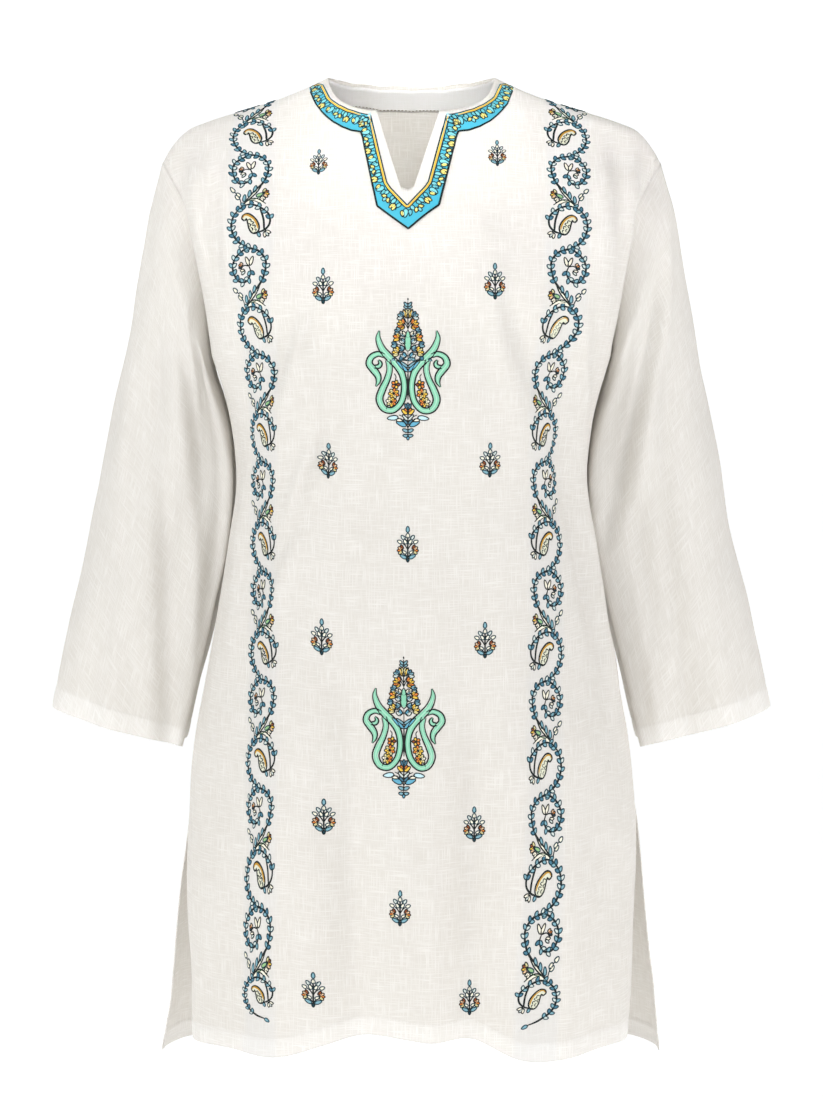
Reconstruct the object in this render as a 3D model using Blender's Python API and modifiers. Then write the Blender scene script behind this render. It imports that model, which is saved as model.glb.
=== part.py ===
"""Kurta tunic: a worn, hollow, open-necked tunic with drop shoulders and side slits.

Metres, +Z up, -Y the front, +X to the right as seen from there. The origin is at the base
of the neck, midway between the two neck points of the shoulder seams.
Each cut-and-sewn piece is an open surface, worked out from its sections, with a
Solidify modifier that gives the cloth its thickness inwards.
"""

import math

import bpy
import numpy as np

# Cloth and seams
CLOTH = 0.0012  # wall of the cotton
TRIM = 0.0010  # wall of the embroidered neck border and of the neck facing
SEAM = 0.0003  # gap between two pieces at a seam, and under a piece laid on another

# Driving heights, below the neck points
UNDERARM = -0.250
SLIT_TOP = -0.664
FRONT_HEM = -0.890
BACK_HEM = -0.907
NECK_POINT = 0.0015
NECK_RISE = 0.026  # how far the neck base would rise above the neck points

# Driving widths, from the centre line
SHOULDER = 0.226
NECK = 0.0753

# Rows of the panels, from hem to underarm and on to the shoulder
SLIT_ROWS = 7
SKIRT_ROWS = 13
YOKE_ROWS = 10
BODY_ROWS = (SLIT_ROWS, SKIRT_ROWS, YOKE_ROWS)
BORDER_ROWS = 2
FACING_ROWS = 1
NECK_EDGE = 0.010  # level by which the last row stays below the neckline
SEAM_ROW = 0.9985  # level of the last row before the shoulder seam
# Columns of half a panel, where they end: on the neckline, on the shoulder seam
NECK_COLUMNS = (0, 0.0059, 0.0173, 0.0281, 0.0356, 0.0424, 0.053, 0.0631, 0.0714, 0.0753)
SHOULDER_COLUMNS = (
    *(0.0798, 0.0860, 0.0921, 0.1110, 0.1310, 0.1510),
    *(0.1700, 0.1880, 0.2040, 0.2160, 0.2260),
)
BACK_COLUMNS = (
    *(0, 0.019, 0.038, 0.057, 0.0753, 0.0951, 0.1140, 0.1330),
    *(0.1520, 0.1710, 0.1880, 0.2030, 0.2160, 0.2260),
)
# Rows of a sleeve, closer near the armhole; its columns go on from the panels' rows
SLEEVE_ROWS = 19
SLEEVE_SPREAD = 1.15
SLEEVE_GAP = 1.4 * SEAM  # along the slant that leads away from the armhole edge

# How finely the smooth sections are worked out before the rows are read from them
SECTION_POINTS = 80
PANEL_MARKS = 181
PANEL_SHARES = 81
FIND_STEPS = 12

# The body from the hem to the underarm: half its width, where its side seam runs, and
# how far it stands out in front and behind
SECTIONS = (
    # height, half_width, side_y, front, back
    (-0.890, 0.2010, -0.006, 0.121, 0.143),
    (-0.838, 0.2030, -0.006, 0.121, 0.142),
    (-0.755, 0.2065, -0.006, 0.121, 0.140),
    (-0.664, 0.2060, -0.006, 0.120, 0.138),
    (-0.602, 0.2003, -0.003, 0.118, 0.135),
    (-0.551, 0.1908, 0.000, 0.114, 0.129),
    (-0.480, 0.1778, 0.000, 0.109, 0.118),
    (-0.420, 0.1680, 0.000, 0.106, 0.108),
    (-0.365, 0.1606, 0.000, 0.107, 0.102),
    (-0.320, 0.1640, 0.000, 0.116, 0.105),
    (-0.285, 0.1711, 0.000, 0.124, 0.111),
    (-0.250, 0.1820, 0.000, 0.1275, 0.117),
)

# Below the slit the two edges part: share of its length, and how far each one moves
FRONT_SLIT = (
    # share, out_x, out_y
    (0.00, 0.000, 0.000),
    (0.40, 0.000, -0.006),
    (1.00, 0.000, -0.012),
)
BACK_SLIT = (
    # share, out_x, out_y
    (0.00, 0.000, 0.000),
    (0.40, 0.012, 0.016),
    (1.00, 0.034, 0.036),
)

# From the underarm (rise 0) to the shoulder seam (rise 1): the armhole edge, how far
# round the row turns to reach it, and the share of the depth that is left
FRONT_YOKE = (
    # rise, edge_x, edge_y, turn, depth
    (0.00, 0.1820, 0.000, 90, 0.1275),
    (0.20, 0.1835, -0.020, 98, 0.1240),
    (0.40, 0.1870, -0.031, 104, 0.1100),
    (0.60, 0.1945, -0.034, 103, 0.0880),
    (0.80, 0.2055, -0.030, 92, 0.0590),
    (0.90, 0.2155, -0.018, 72, 0.0390),
    (1.00, 0.2260, 0.000, 60, 0.0000),
)
BACK_YOKE = (
    # rise, edge_x, edge_y, turn, depth
    (0.00, 0.1820, 0.000, 90, 0.1170),
    (0.20, 0.1845, 0.024, 95, 0.1190),
    (0.40, 0.1895, 0.042, 97, 0.1170),
    (0.60, 0.1975, 0.050, 95, 0.1070),
    (0.80, 0.2080, 0.042, 86, 0.0800),
    (0.90, 0.2165, 0.026, 72, 0.0560),
    (1.00, 0.2260, 0.000, 60, 0.0000),
)
SKIRT_FULLNESS = 2.25  # 2 is an ellipse, more is squarer
YOKE_FULLNESS = 2.5
SQUARE_FROM = 0.40  # the rise from which the yoke's fullness holds

# The shoulder seam, from the neck point to the shoulder tip
SHOULDER_LINE = (
    # across, height
    (0.0753, 0.0015),
    (0.0915, -0.0063),
    (0.1200, -0.0178),
    (0.1577, -0.0295),
    (0.1873, -0.0390),
    (0.2036, -0.0463),
    (0.2151, -0.0574),
    (0.2221, -0.0678),
    (0.2260, -0.0752),
)

# The front neckline with its notch, and the outline of the border below it
NECKLINE = (
    # across, height
    (0.0000, -0.1005),
    (0.0059, -0.0980),
    (0.0281, -0.0299),
    (0.0473, -0.0277),
    (0.0631, -0.0209),
    (0.0714, -0.0112),
    (0.0753, 0.0015),
)
BORDER_INNER = (
    # across, height
    (0.0000, -0.1140),
    (0.0173, -0.0962),
    (0.0330, -0.0346),
    (0.0444, -0.0326),
    (0.0640, -0.0253),
    (0.0749, -0.0160),
    (0.0798, -0.0034),
)
BORDER_OUTER = (
    # across, height
    (0.0000, -0.1355),
    (0.0287, -0.1140),
    (0.0356, -0.0884),
    (0.0424, -0.0502),
    (0.0611, -0.0453),
    (0.0759, -0.0365),
    (0.0921, -0.0100),
)
BACK_NECKLINE = (
    # across, height
    (0.0000, -0.0044),
    (0.0295, -0.0039),
    (0.0551, -0.0016),
    (0.0753, 0.0015),
)
FACING_LINE = (
    # across, height
    (0.0000, -0.0263),
    (0.0296, -0.0258),
    (0.0552, -0.0229),
    (0.0754, -0.0195),
    (0.0867, -0.0156),
    (0.0951, -0.0117),
)
# Past those outlines the same rows run on over the shoulder: share of it, and level
BORDER_INNER_BEYOND = ((0.40, 0.990), (0.50, 0.980), (1.00, 0.960))
BORDER_OUTER_BEYOND = ((0.50, 0.940), (0.60, 0.900), (1.00, 0.860))
FACING_BEYOND = ((0.50, 0.940), (0.60, 0.900), (1.00, 0.860))

# Soft vertical folds, as ridges (+) and troughs (-): where they lie from the centre
# line at the top and at the bottom, how wide and deep they are, and their heights.
# One whose bottom lies below the hem runs out over it at its full depth.
FRONT_FOLDS = (
    # top_x, bottom_x, width, depth, top, bottom
    (-0.140, -0.128, 0.034, 0.011, -0.430, -0.960),
    (-0.060, -0.043, 0.026, -0.008, -0.440, -0.960),
    (0.022, 0.018, 0.020, 0.004, -0.480, -0.960),
    (0.052, 0.053, 0.020, -0.004, -0.500, -0.960),
    (0.135, 0.124, 0.032, 0.012, -0.440, -0.960),
    (-0.150, -0.118, 0.024, -0.005, -0.170, -0.320),
    (0.150, 0.116, 0.024, -0.005, -0.170, -0.320),
)
BACK_FOLDS = (
    # top_x, bottom_x, width, depth, top, bottom
    (-0.150, -0.140, 0.034, 0.010, -0.430, -0.960),
    (-0.075, -0.060, 0.030, -0.008, -0.400, -0.960),
    (0.005, 0.012, 0.030, 0.007, -0.440, -0.960),
    (0.080, 0.076, 0.028, -0.008, -0.400, -0.960),
    (0.150, 0.146, 0.034, 0.010, -0.430, -0.960),
    (-0.050, -0.030, 0.020, 0.005, -0.080, -0.360),
    (0.060, 0.040, 0.020, 0.005, -0.100, -0.370),
)

FOLD_START = 0.35  # share of a fold's length over which it deepens
HEM_FOLD_START = 0.55  # the same for one that runs out over the hem
FOLD_END = 0.60  # from this share on, a fold grows shallow again
STILL_EDGE = 0.93  # share of the half width past which folds die out

# The hem rises and falls a little along the front: distance from the centre, lift
HEM_LIFT = (
    # across, lift
    (-0.250, 0.009),
    (-0.170, 0.016),
    (-0.115, 0.0165),
    (-0.080, 0.0265),
    (-0.045, 0.0345),
    (0.020, 0.0305),
    (0.053, 0.032),
    (0.100, 0.0125),
    (0.145, 0.012),
    (0.190, 0.015),
    (0.250, 0.010),
)

# The left sleeve, ring by ring from below the armhole to the cuff: the outer and the
# inner edge, the middle of its depth, and half that depth
SLEEVE_RINGS = (
    # outer_x, outer_z, inner_x, inner_z, middle_y, half_depth
    (-0.2364, -0.1071, -0.1805, -0.2660, 0.012, 0.050),
    (-0.2464, -0.1563, -0.1735, -0.2900, 0.026, 0.054),
    (-0.2575, -0.2106, -0.1640, -0.3260, 0.040, 0.056),
    (-0.2725, -0.2800, -0.1580, -0.3748, 0.048, 0.056),
    (-0.2872, -0.3498, -0.1620, -0.4250, 0.052, 0.056),
    (-0.3014, -0.4199, -0.1735, -0.4803, 0.052, 0.056),
    (-0.3162, -0.4904, -0.1885, -0.5430, 0.048, 0.056),
    (-0.3362, -0.5775, -0.2050, -0.6131, 0.043, 0.057),
)
SLEEVE_FULLNESS = 2.15
# Folds along a sleeve: the angle round it (0 underarm, 90 front, 180 outside), the
# turn it makes on its way down, its width in degrees, its depth and its reach
SLEEVE_FOLDS = {
    # angle, turn, width, depth, start, end
    "left": (
        (62, 8, 13, -0.006, 0.12, 0.80),
        (92, 10, 14, 0.004, 0.10, 0.90),
        (125, -6, 12, -0.003, 0.25, 1.00),
        (215, 10, 16, -0.005, 0.15, 0.90),
        (285, -10, 18, -0.005, 0.10, 0.85),
    ),
    "right": (
        (60, 10, 14, -0.006, 0.15, 0.85),
        (95, 6, 13, 0.004, 0.10, 0.80),
        (128, -8, 12, -0.003, 0.20, 0.90),
        (220, 8, 15, -0.005, 0.20, 0.95),
        (280, -8, 17, -0.005, 0.12, 0.80),
    ),
}

COTTON = ((0.93, 0.915, 0.885, 1.0), 0.85)
TURQUOISE = ((0.07, 0.55, 0.68, 1.0), 0.70)


def column(table, index):
    return np.array([row[index] for row in table])


def through(xs, ys, at):
    """A smooth curve through the points of a table, flat beyond its ends."""
    slopes = np.gradient(ys, xs, axis=0)
    first = np.clip(np.searchsorted(xs, at) - 1, 0, len(xs) - 2)
    width = xs[first + 1] - xs[first]
    t = np.clip((at - xs[first]) / width, 0.0, 1.0)
    start, end = ys[first], ys[first + 1]
    bend_in, bend_out = slopes[first] * width, slopes[first + 1] * width
    cubic = 2 * start - 2 * end + bend_in + bend_out
    square = 3 * end - 3 * start - 2 * bend_in - bend_out
    return ((cubic * t + square) * t + bend_in) * t + start


def fade(start, end, at):
    """0 before start, 1 after end, soft between."""
    t = np.clip((at - start) / (end - start), 0.0, 1.0)
    return t * t * (3 - 2 * t)


def row_of_body(edge_x, edge_y, turn, depth, fullness, shares):
    """Half a row of a panel, from the centre line to its edge, by share of its length."""
    power = 2 / fullness
    angles = np.linspace(0.0, math.radians(turn), SECTION_POINTS)
    sines = np.sin(angles) ** power
    cosines = np.sign(np.cos(angles)) * np.abs(np.cos(angles)) ** power
    last = cosines[-1]
    middle = (edge_y - depth * last) / (1 - last)
    x = edge_x * sines / sines[-1]
    y = middle + (depth - middle) * cosines
    lengths = np.concatenate([[0], np.cumsum(np.hypot(np.diff(x), np.diff(y)))])
    at = shares * lengths[-1]
    return np.interp(at, lengths, x), np.interp(at, lengths, y), lengths[-1]


class Panel:
    """The front or the back as a surface over (share of half width, level).

    Level runs from -2 at the hem, through -1 at the top of the slits and 0 at the
    underarm, to 1 at the shoulder seam.
    """

    def __init__(self, side, hem, slit, yoke, folds, lift):
        self.side = side  # -1 front, 1 back
        self.hem = hem
        self.folds = folds
        self.lift = lift
        self.marks = np.linspace(-2, 1, PANEL_MARKS)
        self.shares = np.linspace(0, 1, PANEL_SHARES)
        levels = np.where(self.marks < 0, self.marks, 1 - (1 - self.marks) ** 2)
        rows = [self.row_at(level, slit, yoke) for level in levels]
        self.x = np.array([row[0] for row in rows])
        self.y = np.array([row[1] for row in rows]) * side
        self.half_length = np.array([row[2] for row in rows])

    def row_at(self, level, slit, yoke):
        if level < 0:
            heights = column(SECTIONS, 0)
            height = self.skirt_height(level)
            stands = 3 if self.side < 0 else 4
            edge_x, edge_y, depth = (
                through(heights, column(SECTIONS, i), height) for i in (1, 2, stands)
            )
            opened = max(-1 - level, 0)
            edge_x += through(column(slit, 0), column(slit, 1), opened)
            edge_y += through(column(slit, 0), column(slit, 2), opened)
            turn, fullness = 90.0, SKIRT_FULLNESS
        else:
            rises = column(yoke, 0)
            edge_x, turn = (through(rises, column(yoke, i), level) for i in (1, 3))
            # Over the root of what is left, the surface lies flat at the seam.
            crowns = -np.sqrt(1 - rises)
            edge_y, depth = (
                through(crowns, column(yoke, i), -math.sqrt(1 - level)) for i in (2, 4)
            )
            blend = fade(0.0, SQUARE_FROM, level)
            fullness = SKIRT_FULLNESS + (YOKE_FULLNESS - SKIRT_FULLNESS) * blend
        outward = edge_y * self.side
        return row_of_body(edge_x, outward, turn, depth, fullness, self.shares)

    def skirt_height(self, level):
        upper = UNDERARM + level * (UNDERARM - SLIT_TOP)
        lower = SLIT_TOP + (level + 1) * (SLIT_TOP - self.hem)
        return np.where(level < -1, lower, upper)

    def top_height(self, share):
        """The height of level 1: the shoulder seam, and over the neck its base."""
        across = share * SHOULDER
        seam = through(column(SHOULDER_LINE, 0), column(SHOULDER_LINE, 1), across)
        over_neck = NECK_POINT + NECK_RISE * (1 - np.clip(across / NECK, 0, 1) ** 2)
        return np.where(across < NECK, over_neck, seam)

    def mark(self, level):
        """Where a level lies among the rows, which crowd together at the shoulder."""
        return np.where(level < 0, level, 1 - np.sqrt(1 - np.clip(level, 0, 1)))

    def look_up(self, table, share, level):
        row = (self.mark(level) + 2) / 3 * (len(self.marks) - 1)
        col = share * (len(self.shares) - 1)
        r = np.clip(row.astype(int), 0, len(self.marks) - 2)
        c = np.clip(col.astype(int), 0, len(self.shares) - 2)
        u, v = row - r, col - c
        low = table[r, c] * (1 - v) + table[r, c + 1] * v
        high = table[r + 1, c] * (1 - v) + table[r + 1, c + 1] * v
        return low * (1 - u) + high * u

    def height(self, share, level):
        yoke = UNDERARM + level * (self.top_height(share) - UNDERARM)
        return np.where(level < 0, self.skirt_height(level), yoke)

    def yoke_level(self, share, height):
        return (height - UNDERARM) / (self.top_height(share) - UNDERARM)

    def find(self, across, height):
        """The (share, level) of the point seen from the front at this place."""
        share = np.array(across / SHOULDER)
        for _ in range(FIND_STEPS):
            level = self.yoke_level(share, height)
            seen = self.look_up(self.x, share, level)
            share = np.clip(share + (across - seen) / SHOULDER, 0.0, 1.0)
        return share, self.yoke_level(share, height)

    def points(self, signed_share, level):
        """The surface itself, with its folds, as an array of points."""
        share = np.abs(signed_share)
        x = self.look_up(self.x, share, level) * np.sign(signed_share)
        y = self.look_up(self.y, share, level) + self.side * SEAM / 2
        z = self.height(share, level)
        length = np.interp(self.mark(level), self.marks, self.half_length)
        across = signed_share * length
        push = np.zeros_like(x)
        for top_x, bottom_x, width, depth, top, bottom in self.folds:
            down = np.clip((z - top) / (bottom - top), 0, 1)
            centre = top_x + (bottom_x - top_x) * down
            bell = np.exp(-(((across - centre) / width) ** 2))
            if bottom < self.hem:
                reach = fade(0.0, HEM_FOLD_START, down)
            else:
                reach = fade(0.0, FOLD_START, down) * (1 - fade(FOLD_END, 1.0, down))
            push += depth * bell * reach
        push *= 1 - fade(STILL_EDGE, 1.0, share)
        z = z + self.lift * fade(-1.0, -2.0, level) * through(
            column(HEM_LIFT, 0), column(HEM_LIFT, 1), across
        )
        flat = np.stack([x, y, z], axis=-1)
        return flat + push[..., None] * self.normals(flat)

    def normals(self, grid):
        along = np.gradient(grid, axis=1)
        up = np.gradient(grid, axis=0)
        normal = np.cross(along, up) * -self.side
        return normal / np.linalg.norm(normal, axis=-1, keepdims=True)


def make_material(name, colour, roughness):
    material = bpy.data.materials.new(name)
    material.use_nodes = True
    shader = material.node_tree.nodes["Principled BSDF"]
    shader.inputs["Base Color"].default_value = colour
    shader.inputs["Roughness"].default_value = roughness
    return material


def add_cloth(name, grid, finish, thickness, closed=False):
    """A sheet over a grid of points, with its wall on the inner side of that face."""
    rows, columns = grid.shape[:2]
    faces = []
    for r in range(rows - 1):
        for c in range(columns if closed else columns - 1):
            n = (c + 1) % columns
            below, above = r * columns, (r + 1) * columns
            face = (below + c, below + n, above + n, above + c)
            # The diagonals of the two halves mirror each other.
            faces.append(face[1:] + face[:1] if c < columns // 2 else face)
    mesh = bpy.data.meshes.new(name)
    mesh.from_pydata(grid.reshape(-1, 3).tolist(), [], faces)
    mesh.shade_smooth()
    mesh.materials.append(make_material(name + "_cloth", *finish))
    obj = bpy.data.objects.new(name, mesh)
    wall = obj.modifiers.new("Cloth", "SOLIDIFY")
    wall.thickness = thickness
    wall.offset = -1.0
    bpy.data.collections["kurta_tunic"].objects.link(obj)


def both_sides(half):
    """Shares from the centre line out, made into shares from edge to edge."""
    return np.concatenate([-half[:0:-1], half])


def steps_between(lines, counts):
    """Levels of every row: each pair of neighbouring lines is parted into steps."""
    rows = [lines[0]]
    for low, high, count in zip(lines, lines[1:], counts):
        rows += [low + (high - low) * step / count for step in range(1, count + 1)]
    return np.array(rows)


def line_levels(panel, outline, beyond, shares):
    """The level of an outline on each column, carried on over the shoulder."""
    share, level = panel.find(column(outline, 0), column(outline, 1))
    share = np.concatenate([share, column(beyond, 0)])
    level = np.concatenate([level, column(beyond, 1)])
    return np.interp(shares, share, level)


def panel_lines(shares):
    """The hem, the top of the slits and the underarm, as levels on each column."""
    return [np.full(len(shares), level) for level in (-2.0, -1.0, 0.0)]


def build_front(front):
    """The front panel, and the border that lies on the rows round its neckline."""
    across = np.array(NECK_COLUMNS)
    heights = np.interp(across, column(NECKLINE, 0), column(NECKLINE, 1))
    neck_share, neck_top = front.find(across, heights)
    shoulder_share = np.array(SHOULDER_COLUMNS) / SHOULDER
    shares = np.concatenate([neck_share, shoulder_share])
    top = np.concatenate([neck_top, np.ones(len(shoulder_share))])
    inner = line_levels(front, BORDER_INNER, BORDER_INNER_BEYOND, shares)
    outer = line_levels(front, BORDER_OUTER, BORDER_OUTER_BEYOND, shares)
    turned = np.where(top < 1, top - NECK_EDGE, SEAM_ROW)
    lines = panel_lines(shares) + [outer, inner, turned, top]
    levels = steps_between(lines, (*BODY_ROWS, BORDER_ROWS, 1, 1))
    levels = np.concatenate([levels[:, :0:-1], levels], axis=1)
    signed = np.broadcast_to(both_sides(shares), levels.shape)
    grid = front.points(signed, levels)
    add_cloth("front_panel", grid, COTTON, CLOTH)
    rows = slice(sum(BODY_ROWS), sum(BODY_ROWS) + BORDER_ROWS + 1)
    last = len(shares) - 1 - shares.searchsorted(BORDER_OUTER[-1][0] / SHOULDER - 1e-6)
    columns = slice(last, grid.shape[1] - last)
    raised = grid + (SEAM + TRIM) * front.normals(grid)
    add_cloth("neck_border", raised[rows, columns], TURQUOISE, TRIM)
    return armhole(front, grid)


def build_back(back):
    """The back panel, and the facing inside its neck."""
    neck_share, neck_top = back.find(column(BACK_NECKLINE, 0), column(BACK_NECKLINE, 1))
    shares = np.array(BACK_COLUMNS) / SHOULDER
    in_neck = shares <= neck_share[-1] + 1e-6
    top = np.where(in_neck, np.interp(shares, neck_share, neck_top), 1.0)
    line = line_levels(back, FACING_LINE, FACING_BEYOND, shares)
    turned = np.where(top < 1, top - NECK_EDGE, SEAM_ROW)
    lines = panel_lines(shares) + [line, turned, top]
    levels = steps_between(lines, (*BODY_ROWS, FACING_ROWS, 1))
    levels = np.concatenate([levels[:, :0:-1], levels], axis=1)
    signed = np.broadcast_to(both_sides(shares), levels.shape)
    grid = back.points(signed, levels)
    add_cloth("back_panel", grid[:, ::-1], COTTON, CLOTH)
    rows = slice(sum(BODY_ROWS), levels.shape[0] - 1)
    last = len(shares) - 1 - shares.searchsorted(FACING_LINE[-1][0] / SHOULDER - 1e-6)
    columns = slice(last, grid.shape[1] - last)
    inside = grid - (CLOTH + SEAM) * back.normals(grid)
    facing = inside[rows, columns]
    add_cloth("back_neck_facing", facing[:, ::-1], COTTON, TRIM)
    return armhole(back, grid)


def armhole(panel, grid):
    """The left armhole edge of a panel from underarm to shoulder, and its normals.

    The row just below the shoulder seam is left out, being too close to it for a sleeve.
    """
    underarm = SLIT_ROWS + SKIRT_ROWS
    keep = [*range(underarm, grid.shape[0] - 2), grid.shape[0] - 1]
    return grid[keep, 0], panel.normals(grid)[keep, 0]


def shares_along(edge):
    lengths = np.linalg.norm(np.diff(edge, axis=0), axis=1)
    lengths = np.concatenate([[0], np.cumsum(lengths)])
    return lengths / lengths[-1]


def half_ring(outer_x, outer_z, inner_x, inner_z, middle_y, half_depth, at):
    """Half a ring of the sleeve, from its inner edge by the front to its outer edge."""
    power = 2 / SLEEVE_FULLNESS
    angles = np.linspace(0, math.pi, SECTION_POINTS)
    along = np.sign(np.cos(angles)) * np.abs(np.cos(angles)) ** power
    forward = np.sin(angles) ** power
    half_width = math.hypot(outer_x - inner_x, outer_z - inner_z) / 2
    shares = shares_along(np.stack([along * half_width, forward * half_depth], axis=1))
    along, forward = np.interp(at, shares, along), np.interp(at, shares, forward)
    x = (outer_x + inner_x) / 2 + (inner_x - outer_x) / 2 * along
    z = (outer_z + inner_z) / 2 + (inner_z - outer_z) / 2 * along
    return np.stack([x, middle_y - half_depth * forward, z], axis=-1)


def ring_of_sleeve(ring, front_at, back_at):
    """A closed ring: from the underarm by the front and the outside to the back."""
    front, back = half_ring(*ring, front_at), half_ring(*ring, back_at)
    back[:, 1] = 2 * ring[4] - back[:, 1]
    return np.concatenate([front, back[-2:0:-1]])


def build_sleeve(name, side, front_armhole, back_armhole):
    """A sleeve lofted from the armhole to the cuff, with soft folds along it."""
    (front_edge, front_normal), (back_edge, back_normal) = front_armhole, back_armhole
    edge = np.concatenate([front_edge, back_edge[-2:0:-1]])
    outward = np.concatenate([front_normal, back_normal[-2:0:-1]])
    tip = len(front_edge) - 1
    edge[0] = (front_edge[0] + back_edge[0]) / 2
    edge[tip] = (front_edge[-1] + back_edge[-1]) / 2
    front_at, back_at = shares_along(front_edge), shares_along(back_edge)
    rings = [ring_of_sleeve(ring, front_at, back_at) for ring in SLEEVE_RINGS]
    down = rings[0] - edge
    down /= np.linalg.norm(down, axis=-1, keepdims=True)
    away = down + outward
    away /= np.linalg.norm(away, axis=-1, keepdims=True)
    rings = np.array([edge + SLEEVE_GAP * away] + rings)
    steps = np.linalg.norm(np.diff(rings.mean(axis=1), axis=0), axis=1)
    marks = np.concatenate([[0], np.cumsum(steps)])
    marks /= marks[-1]
    spots = np.linspace(0, 1, SLEEVE_ROWS + 1) ** SLEEVE_SPREAD
    flat = [through(marks, rings.reshape(len(rings), -1), spot) for spot in spots]
    grid = np.array(flat).reshape(len(spots), -1, 3)
    angles = np.concatenate([180 * front_at, 360 - 180 * back_at[-2:0:-1]])
    push = np.zeros(grid.shape[:2])
    for angle, turn, width, depth, start, end in SLEEVE_FOLDS[side]:
        reach = (spots - start) / (end - start)
        away = angles[None, :] - (angle + turn * reach)[:, None]
        soft = fade(0, 0.3, reach) * (1 - fade(0.7, 1.0, reach) * (end < 1))
        push += depth * np.exp(-((away / width) ** 2)) * soft[:, None]
    middle = grid.mean(axis=1, keepdims=True)
    round_about = np.gradient(np.concatenate([grid[:, -1:], grid, grid[:, :1]], 1), axis=1)
    normal = np.cross(np.gradient(grid, axis=0), round_about[:, 1:-1])
    normal *= np.sign((normal * (grid - middle)).sum(-1, keepdims=True))
    normal /= np.linalg.norm(normal, axis=-1, keepdims=True)
    grid = grid + push[..., None] * normal
    if side == "right":
        grid = grid * (-1, 1, 1)
        grid = grid[:, ::-1]
    add_cloth(name, grid, COTTON, CLOTH, closed=True)


def build():
    for obj in list(bpy.data.objects):
        bpy.data.objects.remove(obj)
    collection = bpy.data.collections.new("kurta_tunic")
    bpy.context.scene.collection.children.link(collection)
    front = Panel(-1, FRONT_HEM, FRONT_SLIT, FRONT_YOKE, FRONT_FOLDS, 1.0)
    back = Panel(1, BACK_HEM, BACK_SLIT, BACK_YOKE, BACK_FOLDS, 0.0)
    armholes = build_front(front), build_back(back)
    build_sleeve("sleeve_left", "left", *armholes)
    build_sleeve("sleeve_right", "right", *armholes)


build()
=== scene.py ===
import math

import bpy
import numpy as np
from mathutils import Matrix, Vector
from mathutils.geometry import tessellate_polygon


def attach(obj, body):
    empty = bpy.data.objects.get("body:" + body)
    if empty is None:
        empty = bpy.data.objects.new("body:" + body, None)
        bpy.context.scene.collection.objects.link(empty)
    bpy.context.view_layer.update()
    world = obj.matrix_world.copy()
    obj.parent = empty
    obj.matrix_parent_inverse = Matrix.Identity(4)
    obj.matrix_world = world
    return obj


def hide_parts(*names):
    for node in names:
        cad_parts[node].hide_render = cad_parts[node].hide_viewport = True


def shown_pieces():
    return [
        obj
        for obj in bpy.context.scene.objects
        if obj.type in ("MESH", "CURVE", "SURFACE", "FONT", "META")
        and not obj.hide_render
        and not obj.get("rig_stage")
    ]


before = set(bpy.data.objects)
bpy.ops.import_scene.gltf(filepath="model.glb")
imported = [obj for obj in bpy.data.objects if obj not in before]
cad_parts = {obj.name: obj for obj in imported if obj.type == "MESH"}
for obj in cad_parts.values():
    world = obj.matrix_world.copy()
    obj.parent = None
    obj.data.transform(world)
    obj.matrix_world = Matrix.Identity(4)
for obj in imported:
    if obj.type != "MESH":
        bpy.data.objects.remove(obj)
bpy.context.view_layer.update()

# The cut of the garment, in metres below and out from the base of the neck
body = {
    "cloth": 0.0008,  # wall of the cotton
    "hemCloth": 0.0012,  # wall where it is turned up and sewn double
    "trim": 0.0010,  # neck border and neck facing
    "seam": 0.0003,  # gap at a seam, and under a piece that lies on another
    "underarm": -0.250,
    "slitTop": -0.664,
    "frontHem": -0.890,
    "backHem": -0.907,
    "neckPoint": 0.0015,
    "neckRise": 0.026,
    "shoulder": 0.226,
    "neck": 0.0753,
    "skirtFullness": 2.25,  # 2 is an ellipse, more is squarer
    "yokeFullness": 2.5,
    "squareFrom": 0.40,
    "seamRow": 0.9985,  # level of the last row before the shoulder seam
    "neckEdge": 0.010,  # level by which the turned edge stays below the neckline
    "foldStart": 0.35,
    "hemFoldStart": 0.55,
    "foldEnd": 0.60,
    "stillEdge": 0.93,
    "neckLean": -0.0037,  # the notch stands a little to one side
    "leanAcross": (0.010, 0.075),  # and this far from the middle it no longer does
    "leanDown": (-0.175, -0.115),
    "creaseStart": (-0.12, 0.35),  # shares of a crease between which it rises
    "creaseEnd": (0.65, 1.12),  # and dies away
    "outlineSteps": 160,
    "tableRows": 241,
    "tableColumns": 121,
    "searches": 12,
}

sections = (
    # height, half width, side y, front, back
    (-0.890, 0.2010, -0.006, 0.121, 0.143),
    (-0.838, 0.2030, -0.006, 0.121, 0.142),
    (-0.755, 0.2065, -0.006, 0.121, 0.140),
    (-0.664, 0.2060, -0.006, 0.120, 0.138),
    (-0.602, 0.2003, -0.003, 0.118, 0.135),
    (-0.551, 0.1908, 0.000, 0.114, 0.129),
    (-0.480, 0.1778, 0.000, 0.109, 0.118),
    (-0.420, 0.1680, 0.000, 0.106, 0.108),
    (-0.365, 0.1606, 0.000, 0.107, 0.102),
    (-0.320, 0.1640, 0.000, 0.116, 0.105),
    (-0.285, 0.1711, 0.000, 0.124, 0.111),
    (-0.250, 0.1820, 0.000, 0.1275, 0.117),
)
frontSlit = (
    # share of the slit, out x, out y
    (0.00, 0.000, 0.000),
    (0.40, 0.000, -0.006),
    (1.00, 0.000, -0.012),
)
backSlit = (
    # share of the slit, out x, out y
    (0.00, 0.000, 0.000),
    (0.40, 0.012, 0.016),
    (1.00, 0.034, 0.036),
)
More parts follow.
